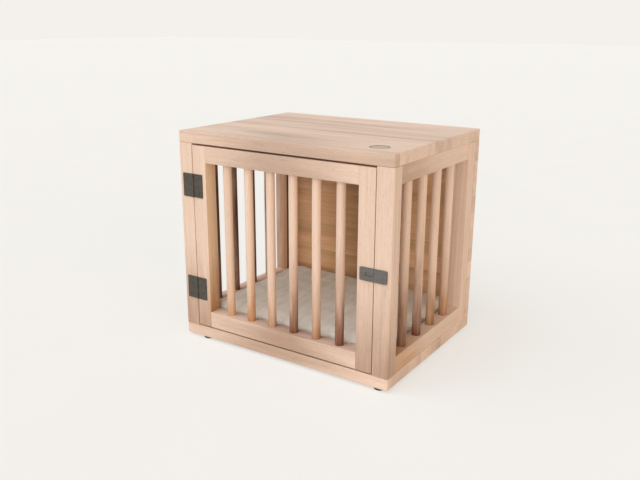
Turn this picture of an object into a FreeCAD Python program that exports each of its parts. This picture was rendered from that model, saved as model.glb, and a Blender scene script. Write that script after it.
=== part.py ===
"""Dog crate end table: a beech case on four posts, with barred sides and a barred front door.

Millimetres, +Z up, +X to the right of someone facing the door, -Y towards that person.
The origin is the middle of the footprint, on the floor. Driving sizes are in the sheet "Sizes",
places worked out from them are in the sheet "Layout", and every piece is bound to those cells.
"""
import FreeCAD, Part
import os

import Sketcher

V = FreeCAD.Vector

SIZES = {
    # case: two boards held apart by four posts, closed at the back by a panel
    "case_width": 630,
    "case_depth": 484,
    "board_thickness": 30,
    "post_width": 43,
    "post_depth": 38,
    "post_length": 502,
    "panel_thickness": 30,
    "board_corner_radius": 5,
    "board_edge_radius": 2.5,
    "post_corner_radius": 4,
    "edge_radius": 1,
    # side frames: a rail at the top, a rail at the bottom, round bars between them
    "rail_height": 43,
    "rail_thickness": 38,
    "rail_setback": 2,
    "side_bar_count": 4,
    "bar_radius": 11,
    "bar_let_in": 12,
    # door
    "door_side_gap": 2,
    "door_top_gap": 4.5,
    "door_bottom_gap": 4,
    "door_thickness": 38,
    "stile_width": 43,
    "door_rail_height": 43,
    "door_bar_count": 6,
    # hinges
    "hinge_width": 65,
    "hinge_height": 62,
    "hinge_spacing": 282.5,
    "leaf_thickness": 2,
    "leaf_corner_radius": 2,
    "knuckle_radius": 2.5,
    "knuckle_length": 18,
    "knuckle_end_gap": 0.3,
    "knuckle_side_gap": 0.5,
    "pin_radius": 1.25,
    "pin_clearance": 0.05,
    "outer_screw_reach": 22,
    "outer_screw_rise": 21,
    "middle_screw_reach": 13,
    # slide latch
    "latch_width": 71,
    "latch_height": 31.5,
    "latch_thickness": 4,
    "latch_gap": 0.5,
    "latch_corner_radius": 3,
    "latch_screw_rise": 11.2,
    "bolt_length": 31,
    "bolt_height": 12,
    "bolt_thickness": 2,
    "bolt_clearance": 0.3,
    "bolt_travel": 16,
    "bolt_end_room": 1,
    "button_width": 6,
    "button_height": 8,
    "button_proud": 0.8,
    "button_inset": 5,
    # countersunk screws of the hinges and of the latch
    "hinge_screw_radius": 1.6,
    "hinge_screw_head_radius": 3.2,
    "hinge_screw_head_height": 1.7,
    "hinge_screw_length": 16,
    "latch_screw_radius": 1.4,
    "latch_screw_head_radius": 2.6,
    "latch_screw_head_height": 1.4,
    "latch_screw_length": 16,
    # long screws that hold the top and the door stop
    "long_screw_radius": 2,
    "long_screw_head_radius": 4,
    "long_screw_head_height": 2.4,
    "top_screw_length": 45,
    "top_screw_pocket": 15,
    "stop_screw_length": 38,
    "screw_room": 0.5,
    # dowels of the glued joints
    "dowel_radius": 4,
    "dowel_chamfer": 0.8,
    "case_dowel_length": 30,
    "door_dowel_length": 50,
    "dowel_pair_spacing": 22,
    "outer_fixing_inset": 13,
    "inner_fixing_inset": 33,
    "fixing_depth": 14,
    "panel_dowel_rise": 181,
    "panel_dowel_spacing": 158,
    # bolts from below into threaded inserts in the posts
    "base_bolt_radius": 3,
    "base_bolt_length": 42,
    "base_bolt_head_radius": 6,
    "base_bolt_head_height": 3.5,
    "base_bolt_socket_radius": 2.3,
    "base_bolt_socket_depth": 2,
    "base_bolt_recess": 6,
    "insert_radius": 5,
    "insert_length": 20,
    "thread_clearance": 0.05,
    # foot glides and their nails
    "glide_radius": 14,
    "glide_height": 7,
    "glide_edge": 1,
    "glide_recess_radius": 4,
    "glide_recess_depth": 3,
    "glide_end_inset": 18,
    "glide_left_inset": 63,
    "glide_right_inset": 30,
    "nail_radius": 1.2,
    "nail_head_radius": 3,
    "nail_head_height": 1,
    "nail_length": 16,
    # round inlay near the front right corner of the top
    "inlay_radius": 24.5,
    "inlay_depth": 2,
    "inlay_side_inset": 73,
    "inlay_front_inset": 65,
    # stop block for the door, under the top
    "stop_width": 40,
    "stop_depth": 20,
    "stop_height": 25,
    "stop_side_inset": 47,
    "stop_screw_spacing": 20,
    "bumper_radius": 6,
    "bumper_thickness": 2.7,
    "bumper_gap": 0.3,
    "bumper_drop": 14,
    # floor cushion
    "cushion_height": 60,
    "cushion_side_gap": 3,
    "cushion_end_gap": 3,
    "cushion_corner_radius": 40,
    "cushion_edge_radius": 22,
}

LAYOUT = {
    "left_side": "-Sizes.case_width / 2",
    "right_side": "Sizes.case_width / 2",
    "front_face": "-(Sizes.case_depth - 2 * Sizes.knuckle_radius) / 2",
    "back_face": "front_face + Sizes.case_depth",
    "base_bottom": "Sizes.glide_height",
    "base_top": "base_bottom + Sizes.board_thickness",
    "cabin_top": "base_top + Sizes.post_length",
    "panel_front": "back_face - Sizes.panel_thickness",
    "front_post_back": "front_face + Sizes.post_depth",
    "back_post_front": "panel_front - Sizes.post_depth",
    "side_rail_length": "back_post_front - front_post_back",
    "left_rail_outer": "left_side + Sizes.rail_setback",
    "right_rail_outer": "right_side - Sizes.rail_setback",
    "left_bar_centre": "left_rail_outer + Sizes.rail_thickness / 2",
    "right_bar_centre": "right_rail_outer - Sizes.rail_thickness / 2",
    "side_bar_pitch": "(side_rail_length + 2 * Sizes.bar_radius) / (Sizes.side_bar_count + 1)",
    "side_bar_start": "front_post_back - Sizes.bar_radius",
    "door_left": "left_side + Sizes.post_width + Sizes.door_side_gap",
    "door_right": "right_side - Sizes.post_width - Sizes.door_side_gap",
    "door_bottom": "base_top + Sizes.door_bottom_gap",
    "door_top": "cabin_top - Sizes.door_top_gap",
    "door_rail_left": "door_left + Sizes.stile_width",
    "door_rail_right": "door_right - Sizes.stile_width",
    "door_rail_length": "door_rail_right - door_rail_left",
    "door_bar_pitch": "(door_rail_length + 2 * Sizes.bar_radius) / (Sizes.door_bar_count + 1)",
    "door_bar_start": "door_rail_left - Sizes.bar_radius",
    "door_centre": "(door_bottom + door_top) / 2",
    "hinge_axis_x": "left_side + Sizes.post_width + Sizes.door_side_gap / 2",
    "hinge_axis_y": "front_face - Sizes.knuckle_radius",
    "leaf_width": "(Sizes.hinge_width - Sizes.door_side_gap) / 2",
    "latch_axis": "right_side - Sizes.post_width - Sizes.door_side_gap / 2",
    "housing_left": "latch_axis - Sizes.latch_width / 2",
    "housing_right": "door_right + Sizes.door_side_gap",
    "keeper_left": "housing_right + Sizes.latch_gap",
    "keeper_right": "latch_axis + Sizes.latch_width / 2",
    "bolt_right": "housing_right - Sizes.bolt_clearance",
    "bolt_left": "bolt_right - Sizes.bolt_length",
    "keeper_pocket_end": "bolt_right + Sizes.bolt_travel + Sizes.bolt_end_room",
    "button_left": "bolt_left + Sizes.button_inset",
    "stop_right": "right_side - Sizes.post_width - Sizes.stop_side_inset",
    "bumper_front": "front_face + Sizes.door_thickness + Sizes.bumper_gap",
    "stop_front": "bumper_front + Sizes.bumper_thickness",
}

ALL_CORNERS = ((0, 0), (1, 0), (0, 1), (1, 1))
INTO_CASE = FreeCAD.Rotation(V(0, 0, 1), V(0, 1, 0))
TO_THE_RIGHT = FreeCAD.Rotation(V(0, 0, 1), V(1, 0, 0))
UPRIGHT = FreeCAD.Rotation()
TOUCH = 1e-6

doc = FreeCAD.newDocument("dog_crate_end_table")
nodes = []


# ---------------------------------------------------------------- helpers

def make_sheet(name, cells):
    """A spreadsheet with one aliased cell for each entry."""
    sheet = doc.addObject("Spreadsheet::Sheet", name)
    for row, (alias, content) in enumerate(cells.items(), 1):
        sheet.set(f"A{row}", alias)
        sheet.set(f"B{row}", str(content))
        sheet.setAlias(f"B{row}", alias)
    doc.recompute()
    return sheet


def number(expression):
    """The present value of an expression, for first guesses in sketches."""
    return float(sizes.evalExpression(expression))


def keep(piece):
    """Hand a finished sub-part in: its Label names its file."""
    nodes.append(piece)
    return piece


def put(piece, place, turn=UPRIGHT):
    """Place an object by three expressions, turned first."""
    piece.Placement = FreeCAD.Placement(V(), turn)
    for axis, expression in zip("xyz", place):
        piece.setExpression(f".Placement.Base.{axis}", expression)
    return piece


def sketch(body, name, role, corners):
    """A closed outline of straight lines, its corners given by expressions."""
    outline = body.newObject("Sketcher::SketchObject", name)
    plane = next(item for item in body.Origin.OriginFeatures if item.Role == role)
    outline.AttachmentSupport = [(plane, "")]
    outline.MapMode = "FlatFace"
    spots = [V(number(x), number(y), 0) for x, y in corners]
    count = len(corners)
    for index in range(count):
        outline.addGeometry(Part.LineSegment(spots[index], spots[(index + 1) % count]), False)
    for index in range(count):
        outline.addConstraint(Sketcher.Constraint("Coincident", index, 2, (index + 1) % count, 1))
    for index, (across, up) in enumerate(corners):
        hold_corner(outline, index, "DistanceX", -2, across)
        hold_corner(outline, index, "DistanceY", -1, up)
    return outline


def hold_corner(outline, index, kind, zero_axis, expression):
    """Keep one corner on an axis of the sketch, or at its distance from the origin."""
    if expression == "0":
        outline.addConstraint(Sketcher.Constraint("PointOnObject", index, 1, zero_axis))
        return
    row = outline.addConstraint(Sketcher.Constraint(kind, -1, 1, index, 1, number(expression)))
    outline.setExpression(f"Constraints[{row}]", expression)


def turned(name, profile):
    """A body turned about its own Z axis from a profile of (radius, height) corners."""
    body = doc.addObject("PartDesign::Body", name)
    outline = sketch(body, f"{name}_profile", "XZ_Plane", profile)
    turning = body.newObject("PartDesign::Revolution", f"{name}_turning")
    turning.Profile = outline
    turning.ReferenceAxis = (outline, ["V_Axis"])
    turning.Angle = 360
    return body


def edges_along(feature, axis, corners):
    """Edges of a squared block along one axis, at the named corners of its section."""
    box = feature.Shape.BoundBox
    low = (box.XMin, box.YMin, box.ZMin)
    high = (box.XMax, box.YMax, box.ZMax)
    run = "xyz".index(axis)
    across = [index for index in range(3) if index != run]
    names = []
    for row, edge in enumerate(feature.Shape.Edges, 1):
        centre = edge.CenterOfMass
        if edge.Length < high[run] - low[run] - TOUCH:
            continue
        for corner in corners:
            spot = [(high if side else low)[index] for side, index in zip(corner, across)]
            if all(abs(centre[index] - at) < TOUCH for index, at in zip(across, spot)):
                names.append(f"Edge{row}")
    return names


def rim_edges(feature):
    """Every edge of the lower and the upper face of a board."""
    rows = enumerate(feature.Shape.Edges, 1)
    return [f"Edge{row}" for row, edge in rows if edge.BoundBox.ZLength < TOUCH]


def round_over(body, name, edges, radius):
    """Round the named edges of the body's last feature."""
    sharp = body.Tip
    feature = body.newObject("PartDesign::Fillet", name)
    feature.Base = (sharp, edges)
    feature.setExpression("Radius", radius)
    body.Tip = feature
    doc.recompute()
    return feature


def block(name, size, place, roundings=()):
    """A squared piece, with its own roundings: (axis, corners of the section, radius)."""
    length, depth, height = size
    body = doc.addObject("PartDesign::Body", name)
    outline = sketch(body, f"{name}_section", "XY_Plane",
                     [("0", "0"), (length, "0"), (length, depth), ("0", depth)])
    pad = body.newObject("PartDesign::Pad", f"{name}_pad")
    pad.Profile = outline
    pad.setExpression("Length", height)
    doc.recompute()
    for row, (axis, corners, radius) in enumerate(roundings, 1):
        round_over(body, f"{name}_rounding_{row}", edges_along(body.Tip, axis, corners), radius)
    return put(body, place)


def box(name, size, place):
    """A plain box, for a cut or a small lug."""
    piece = doc.addObject("Part::Box", name)
    for side, expression in zip(("Length", "Width", "Height"), size):
        piece.setExpression(side, expression)
    return put(piece, place)


def rod(name, radius, length, place, turn=UPRIGHT):
    """A plain cylinder."""
    piece = doc.addObject("Part::Cylinder", name)
    piece.setExpression("Radius", radius)
    piece.setExpression("Height", length)
    return put(piece, place, turn)


def group(name, members):
    """Several solids kept together as one object."""
    piece = doc.addObject("Part::Compound", name)
    piece.Links = members
    return piece


def copies(name, master, spots, turn=UPRIGHT):
    """Identical pieces at several places, as one group."""
    links = []
    for row, place in enumerate(spots, 1):
        link = doc.addObject("App::Link", f"{name}_{row}")
        link.LinkedObject = master
        links.append(put(link, place, turn))
    return group(name, links)


def cut(name, base, tools):
    """The base without the tools."""
    piece = doc.addObject("Part::Cut", name)
    piece.Base = base
    piece.Tool = tools[0] if len(tools) == 1 else group(f"{name}_tools", tools)
    return piece


def fuse(name, members):
    """Several touching solids joined into one."""
    piece = doc.addObject("Part::MultiFuse", name)
    piece.Shapes = members
    piece.Refine = True
    return piece


# ---------------------------------------------------------------- fasteners

def countersunk_screw(name, radius, head_radius, head_height, length):
    """A wood screw with a flat head at height 0 and its point at the far end."""
    return turned(name, [
        ("0", "0"),
        (head_radius, "0"),
        (radius, head_height),
        (radius, f"{length} - 2 * {radius}"),
        ("0", length),
    ])


def dowel(name, length):
    """A round dowel with chamfered ends, standing on height 0."""
    return turned(name, [
        ("0", "0"),
        ("Sizes.dowel_radius - Sizes.dowel_chamfer", "0"),
        ("Sizes.dowel_radius", "Sizes.dowel_chamfer"),
        ("Sizes.dowel_radius", f"{length} - Sizes.dowel_chamfer"),
        ("Sizes.dowel_radius - Sizes.dowel_chamfer", length),
        ("0", length),
    ])


def corner_spots(inset, low):
    """The same spot in all four posts: inset from the case side, fixing_depth into each post."""
    sides = (f"Layout.left_side + {inset}", f"Layout.right_side - {inset}")
    ends = ("Layout.front_face + Sizes.fixing_depth", "Layout.panel_front - Sizes.fixing_depth")
    return [(side, end, low) for side in sides for end in ends]


def post_dowels():
    """Dowels in the posts' ends: one below, beside the bolt, and two above."""
    half = "Sizes.case_dowel_length / 2"
    below = corner_spots("Sizes.inner_fixing_inset", f"Layout.base_top - {half}")
    inner = corner_spots("Sizes.inner_fixing_inset", f"Layout.cabin_top - {half}")
    outer = corner_spots("Sizes.outer_fixing_inset", f"Layout.cabin_top - {half}")
    return keep(copies("post_dowels", case_dowel, below + inner + outer))


def side_rail_dowels():
    """Two dowels at each end of the four side rails."""
    half = "Sizes.case_dowel_length / 2"
    spots = []
    for across in ("Layout.left_bar_centre", "Layout.right_bar_centre"):
        for joint in ("Layout.front_post_back", "Layout.back_post_front"):
            for middle in ("Layout.base_top + Sizes.rail_height / 2",
                           "Layout.cabin_top - Sizes.rail_height / 2"):
                for side in ("-", "+"):
                    height = f"{middle} {side} Sizes.dowel_pair_spacing / 2"
                    spots.append((across, f"{joint} - {half}", height))
    return keep(copies("side_rail_dowels", case_dowel, spots, INTO_CASE))


def panel_dowels():
    """Dowels between the back panel and the posts, and between the panel and the boards."""
    half = "Sizes.case_dowel_length / 2"
    middle = "(Layout.base_top + Layout.cabin_top) / 2"
    flat = []
    for across in ("Layout.left_side + Sizes.post_width / 2",
                   "Layout.right_side - Sizes.post_width / 2"):
        for step in (-1, 0, 1):
            height = f"{middle} + {step} * Sizes.panel_dowel_rise"
            flat.append((across, f"Layout.panel_front - {half}", height))
    standing = []
    for joint in ("Layout.base_top", "Layout.cabin_top"):
        for step in (-1, 0, 1):
            standing.append((f"{step} * Sizes.panel_dowel_spacing",
                             "Layout.panel_front + Sizes.panel_thickness / 2",
                             f"{joint} - {half}"))
    members = [copies("panel_to_post_dowels", case_dowel, flat, INTO_CASE),
               copies("panel_to_board_dowels", case_dowel, standing)]
    return keep(group("panel_dowels", members))


def door_dowels():
    """Two dowels at each of the door's four corner joints."""
    master = dowel("door_dowel", "Sizes.door_dowel_length")
    spots = []
    for joint in ("Layout.door_rail_left", "Layout.door_rail_right"):
        for middle in ("Layout.door_bottom + Sizes.door_rail_height / 2",
                       "Layout.door_top - Sizes.door_rail_height / 2"):
            for side in ("-", "+"):
                spots.append((f"{joint} - Sizes.door_dowel_length / 2",
                              "Layout.front_face + Sizes.door_thickness / 2",
                              f"{middle} {side} Sizes.dowel_pair_spacing / 2"))
    return keep(copies("door_dowels", master, spots, TO_THE_RIGHT))


def base_bolts():
    """Socket head bolts that come up through the base board into the posts."""
    shaft = turned("base_bolt_shaft", [
        ("0", "0"),
        ("Sizes.base_bolt_head_radius", "0"),
        ("Sizes.base_bolt_head_radius", "Sizes.base_bolt_head_height"),
        ("Sizes.base_bolt_radius", "Sizes.base_bolt_head_height"),
        ("Sizes.base_bolt_radius", "Sizes.base_bolt_head_height + Sizes.base_bolt_length"),
        ("0", "Sizes.base_bolt_head_height + Sizes.base_bolt_length"),
    ])
    socket = doc.addObject("Part::Prism", "base_bolt_socket")
    socket.Polygon = 6
    socket.setExpression("Circumradius", "Sizes.base_bolt_socket_radius")
    socket.setExpression("Height", "Sizes.base_bolt_socket_depth")
    master = cut("base_bolt", shaft, [socket])
    low = "Layout.base_bottom + Sizes.base_bolt_recess - Sizes.base_bolt_head_height"
    spots = corner_spots("Sizes.outer_fixing_inset", low)
    return keep(copies("base_bolts", master, spots))


def base_bolt_holes():
    """Clearance hole and head recess for each bolt, in the base board."""
    hole = rod("base_bolt_hole", "Sizes.base_bolt_radius + Sizes.screw_room",
               "Sizes.board_thickness", ("0", "0", "0"))
    recess = rod("base_bolt_head_recess", "Sizes.base_bolt_head_radius + Sizes.screw_room",
                 "Sizes.base_bolt_recess", ("0", "0", "0"))
    master = fuse("base_bolt_bore", [hole, recess])
    return copies("base_bolt_bores", master,
                  corner_spots("Sizes.outer_fixing_inset", "Layout.base_bottom"))


def threaded_inserts():
    """Brass inserts in the posts' lower ends."""
    sleeve = rod("insert_sleeve", "Sizes.insert_radius", "Sizes.insert_length", ("0", "0", "0"))
    thread = rod("insert_thread", "Sizes.base_bolt_radius + Sizes.thread_clearance",
                 "Sizes.insert_length", ("0", "0", "0"))
    master = cut("threaded_insert", sleeve, [thread])
    spots = corner_spots("Sizes.outer_fixing_inset", "Layout.base_top")
    return keep(copies("threaded_inserts", master, spots)), copies("insert_holes", sleeve, spots)


def top_screws():
    """Screws up through the side rails into the top, between the first and the last two bars."""
    master = countersunk_screw("top_screw", "Sizes.long_screw_radius",
                               "Sizes.long_screw_head_radius", "Sizes.long_screw_head_height",
                               "Sizes.top_screw_length")
    rail_bottom = "Layout.cabin_top - Sizes.rail_height"
    spots = []
    pockets = []
    for across in ("Layout.left_bar_centre", "Layout.right_bar_centre"):
        for along in ("Layout.side_bar_start + 1.5 * Layout.side_bar_pitch",
                      "Layout.back_post_front + Sizes.bar_radius - 1.5 * Layout.side_bar_pitch"):
            spots.append((across, along, f"{rail_bottom} + Sizes.top_screw_pocket"))
            pockets.append((across, along, rail_bottom))
    pocket = rod("top_screw_pocket", "Sizes.long_screw_head_radius + Sizes.screw_room",
                 "Sizes.top_screw_pocket", ("0", "0", "0"))
    return keep(copies("top_screws", master, spots)), copies("top_screw_pockets", pocket, pockets)


# ---------------------------------------------------------------- case

def board(name, low, tools):
    """One of the two boards: rounded corners, softened rims, and its holes."""
    blank = block(f"{name}_blank", ("Sizes.case_width", "Sizes.case_depth", "Sizes.board_thickness"),
                  ("Layout.left_side", "Layout.front_face", low),
                  [("z", ALL_CORNERS, "Sizes.board_corner_radius")])
    round_over(blank, f"{name}_rim", rim_edges(blank.Tip), "Sizes.board_edge_radius")
    return keep(cut(name, blank, tools))


def post(name, across, along, outer_corner, tools):
    """A post between the boards. Its outer corner is rounded more than the others."""
    corners = [corner for corner in ALL_CORNERS if corner != outer_corner]
    roundings = [("z", corners, "Sizes.edge_radius")]
    if outer_corner:
        roundings.append(("z", [outer_corner], "Sizes.post_corner_radius"))
    blank = block(f"{name}_blank", ("Sizes.post_width", "Sizes.post_depth", "Sizes.post_length"),
                  (across, along, "Layout.base_top"), roundings)
    return keep(cut(name, blank, tools))


def back_panel(tools):
    """The closed back, flush with the boards, its back corners rounded like the posts."""
    blank = block("back_panel_blank",
                  ("Sizes.case_width", "Sizes.panel_thickness", "Sizes.post_length"),
                  ("Layout.left_side", "Layout.panel_front", "Layout.base_top"),
                  [("z", [(0, 0), (1, 0)], "Sizes.edge_radius"),
                   ("z", [(0, 1), (1, 1)], "Sizes.post_corner_radius")])
    return keep(cut("back_panel", blank, tools))


def side_rail(name, outer_x, low, tools):
    """A rail between two posts, its long edges softened."""
    blank = block(f"{name}_blank",
                  ("Sizes.rail_thickness", "Layout.side_rail_length", "Sizes.rail_height"),
                  (outer_x, "Layout.front_post_back", low),
                  [("y", ALL_CORNERS, "Sizes.edge_radius")])
    return keep(cut(name, blank, tools))


def side_bars(side):
    """The round bars of one side, let into its two rails."""
    bars = []
    for row in range(1, int(number("Sizes.side_bar_count")) + 1):
        bars.append(keep(rod(
            f"{side}_bar_{row}", "Sizes.bar_radius",
            "Sizes.post_length - 2 * Sizes.rail_height + 2 * Sizes.bar_let_in",
            (f"Layout.{side}_bar_centre",
             f"Layout.side_bar_start + {row} * Layout.side_bar_pitch",
             "Layout.base_top + Sizes.rail_height - Sizes.bar_let_in"))))
    return bars


def side_frame(side, rail_left):
    """Both rails and all bars of one side."""
    bars = side_bars(side)
    side_rail(f"{side}_bottom_rail", rail_left, "Layout.base_top", [rail_dowels, *bars])
    side_rail(f"{side}_top_rail", rail_left, "Layout.cabin_top - Sizes.rail_height",
              [rail_dowels, top_screw_group, top_pockets, *bars])


def posts(hinge_screw_group, keeper_screw_group):
    """The four posts, each with the holes that its neighbours need."""
    left = "Layout.left_side"
    right = "Layout.right_side - Sizes.post_width"
    shared = [end_dowels, rail_dowels, insert_holes]
    post("front_left_post", left, "Layout.front_face", (0, 0), [*shared, hinge_screw_group])
    post("front_right_post", right, "Layout.front_face", (1, 0), [*shared, keeper_screw_group])
    post("back_left_post", left, "Layout.back_post_front", None, [*shared, back_dowels])
    post("back_right_post", right, "Layout.back_post_front", None, [*shared, back_dowels])


def glides():
    """A plastic glide under each corner, and the nails that hold them."""
    master = turned("glide", [
        ("Sizes.glide_recess_radius", "0"),
        ("Sizes.glide_radius - Sizes.glide_edge", "0"),
        ("Sizes.glide_radius", "Sizes.glide_edge"),
        ("Sizes.glide_radius", "Sizes.glide_height"),
        ("Sizes.nail_radius", "Sizes.glide_height"),
        ("Sizes.nail_radius", "Sizes.glide_recess_depth"),
        ("Sizes.glide_recess_radius", "Sizes.glide_recess_depth"),
    ])
    nail = turned("glide_nail", [
        ("0", "0"),
        ("Sizes.nail_head_radius", "0"),
        ("Sizes.nail_head_radius", "Sizes.nail_head_height"),
        ("Sizes.nail_radius", "Sizes.nail_head_height"),
        ("Sizes.nail_radius", "Sizes.nail_length"),
        ("0", "Sizes.nail_length"),
    ])
    sides = {"left": "Layout.left_side + Sizes.glide_left_inset",
             "right": "Layout.right_side - Sizes.glide_right_inset"}
    ends = {"front": "Layout.front_face + Sizes.glide_end_inset",
            "back": "Layout.back_face - Sizes.glide_end_inset"}
    nail_spots = []
    for end, along in ends.items():
        for side, across in sides.items():
            link = doc.addObject("App::Link", f"{end}_{side}_glide")
            link.LinkedObject = master
            keep(put(link, (across, along, "0")))
            nail_spots.append((across, along, "Sizes.glide_recess_depth - Sizes.nail_head_height"))
    return keep(copies("glide_nails", nail, nail_spots))


def corner_inlay():
    """A plain round inlay, flush with the top."""
    return keep(rod("corner_inlay", "Sizes.inlay_radius", "Sizes.inlay_depth",
                    ("Layout.right_side - Sizes.inlay_side_inset",
                     "Layout.front_face + Sizes.inlay_front_inset",
                     "Layout.cabin_top + Sizes.board_thickness - Sizes.inlay_depth")))


def door_stop():
    """A block under the top that the door's top rail closes against, with a rubber bumper."""
    low = "Layout.cabin_top - Sizes.stop_height"
    master = countersunk_screw("stop_screw", "Sizes.long_screw_radius",
                               "Sizes.long_screw_head_radius", "Sizes.long_screw_head_height",
                               "Sizes.stop_screw_length")
    middle = "Layout.stop_right - Sizes.stop_width / 2"
    spots = [(f"{middle} {side} Sizes.stop_screw_spacing / 2",
              "Layout.stop_front + Sizes.stop_depth / 2", low) for side in ("-", "+")]
    screws = keep(copies("door_stop_screws", master, spots))
    blank = block("door_stop_blank", ("Sizes.stop_width", "Sizes.stop_depth", "Sizes.stop_height"),
                  ("Layout.stop_right - Sizes.stop_width", "Layout.stop_front", low),
                  [("z", ALL_CORNERS, "Sizes.edge_radius")])
    keep(cut("door_stop", blank, [screws]))
    keep(rod("door_stop_bumper", "Sizes.bumper_radius", "Sizes.bumper_thickness",
             (middle, "Layout.bumper_front", "Layout.cabin_top - Sizes.bumper_drop"), INTO_CASE))
    return screws


def cushion():
    """The pad that fills the floor of the crate."""
    inner = "Sizes.post_width + Sizes.cushion_side_gap"
    depth = ("Layout.panel_front - Layout.front_face - Sizes.door_thickness"
             " - 2 * Sizes.cushion_end_gap")
    pad = block("cushion", (f"Sizes.case_width - 2 * ({inner})", depth, "Sizes.cushion_height"),
                (f"Layout.left_side + {inner}",
                 "Layout.front_face + Sizes.door_thickness + Sizes.cushion_end_gap",
                 "Layout.base_top"),
                [("z", ALL_CORNERS, "Sizes.cushion_corner_radius")])
    round_over(pad, "cushion_rim", rim_edges(pad.Tip), "Sizes.cushion_edge_radius")
    return keep(pad)


# ---------------------------------------------------------------- hinges

def hinge_screws(side, sign):
    """Three screws in each leaf of one side of both hinges."""
    outer = f"Layout.hinge_axis_x {sign} Sizes.outer_screw_reach"
    middle = f"Layout.hinge_axis_x {sign} Sizes.middle_screw_reach"
    face = "Layout.front_face - Sizes.leaf_thickness"
    spots = []
    for centre in hinge_centres.values():
        spots.append((outer, face, f"{centre} - Sizes.outer_screw_rise"))
        spots.append((middle, face, centre))
        spots.append((outer, face, f"{centre} + Sizes.outer_screw_rise"))
    return keep(copies(f"{side}_hinge_screws", hinge_screw, spots, INTO_CASE))


def knuckle(name, low, length):
    """One length of the hinge's barrel."""
    return rod(name, "Sizes.knuckle_radius", length,
               ("Layout.hinge_axis_x", "Layout.hinge_axis_y", low))


def frame_leaf(name, bottom, pin, screws):
    """The leaf on the post: an upper and a lower knuckle, and a notch for the one between."""
    plate = block(f"{name}_plate", ("Layout.leaf_width", "Sizes.leaf_thickness", "Sizes.hinge_height"),
                  ("Layout.hinge_axis_x - Sizes.hinge_width / 2",
                   "Layout.front_face - Sizes.leaf_thickness", bottom),
                  [("y", [(0, 0), (0, 1)], "Sizes.leaf_corner_radius")])
    reach = "(Sizes.knuckle_radius + Sizes.knuckle_side_gap)"
    notch = box(f"{name}_notch",
                (reach, "Sizes.leaf_thickness", "Sizes.hinge_height - 2 * Sizes.knuckle_length"),
                (f"Layout.hinge_axis_x - {reach}", "Layout.front_face - Sizes.leaf_thickness",
                 f"{bottom} + Sizes.knuckle_length"))
    lower = knuckle(f"{name}_lower_knuckle", bottom, "Sizes.knuckle_length")
    upper = knuckle(f"{name}_upper_knuckle",
                    f"{bottom} + Sizes.hinge_height - Sizes.knuckle_length", "Sizes.knuckle_length")
    stock = fuse(f"{name}_stock", [cut(f"{name}_notched", plate, [notch]), lower, upper])
    return keep(cut(name, stock, [pin, screws]))


def door_leaf(name, bottom, screws):
    """The leaf on the door: one knuckle between the frame leaf's two, turning on the pin."""
    plate = block(f"{name}_plate", ("Layout.leaf_width", "Sizes.leaf_thickness", "Sizes.hinge_height"),
                  ("Layout.hinge_axis_x + Sizes.door_side_gap / 2",
                   "Layout.front_face - Sizes.leaf_thickness", bottom),
                  [("y", [(1, 0), (1, 1)], "Sizes.leaf_corner_radius")])
    end = "(Sizes.knuckle_length + Sizes.knuckle_end_gap)"
    notches = []
    for place in (bottom, f"{bottom} + Sizes.hinge_height - {end}"):
        row = len(notches) + 1
        notches.append(box(f"{name}_notch_{row}",
                           ("Sizes.knuckle_radius + Sizes.knuckle_side_gap",
                            "Sizes.leaf_thickness", end),
                           ("Layout.hinge_axis_x",
                            "Layout.front_face - Sizes.leaf_thickness", place)))
    barrel = knuckle(f"{name}_knuckle", f"{bottom} + {end}", f"Sizes.hinge_height - 2 * {end}")
    stock = fuse(f"{name}_stock", [cut(f"{name}_notched", plate, notches), barrel])
    bore = rod(f"{name}_bore", "Sizes.pin_radius + Sizes.pin_clearance", "Sizes.hinge_height",
               ("Layout.hinge_axis_x", "Layout.hinge_axis_y", bottom))
    return keep(cut(name, stock, [bore, screws]))


def hinge(name, centre, frame_screws, door_screws):
    """One hinge: the two leaves and the pin."""
    bottom = f"{centre} - Sizes.hinge_height / 2"
    pin = keep(rod(f"{name}_pin", "Sizes.pin_radius", "Sizes.hinge_height",
                   ("Layout.hinge_axis_x", "Layout.hinge_axis_y", bottom)))
    frame_leaf(f"{name}_frame_leaf", bottom, pin, frame_screws)
    door_leaf(f"{name}_door_leaf", bottom, door_screws)


# ---------------------------------------------------------------- latch

def latch_bay(name, left, length, height):
    """The flat space behind the latch's face plate that the bolt slides in."""
    depth = "(Sizes.bolt_thickness + 2 * Sizes.bolt_clearance)"
    return box(name, (length, depth, f"{height} + 2 * Sizes.bolt_clearance"),
               (left, f"Layout.front_face - {depth}",
                f"Layout.door_centre - ({height}) / 2 - Sizes.bolt_clearance"))


def latch_plate(name, left, right, corners):
    """The outside of the housing or of the keeper."""
    return block(f"{name}_plate", (f"{right} - {left}", "Sizes.latch_thickness", "Sizes.latch_height"),
                 (left, "Layout.front_face - Sizes.latch_thickness",
                  "Layout.door_centre - Sizes.latch_height / 2"),
                 [("y", corners, "Sizes.latch_corner_radius")])


def latch_screws(name, across):
    """Two screws, one above the other."""
    spots = [(across, "Layout.front_face - Sizes.latch_thickness",
              f"Layout.door_centre {side} Sizes.latch_screw_rise") for side in ("-", "+")]
    return keep(copies(name, latch_screw, spots, INTO_CASE))


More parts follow.
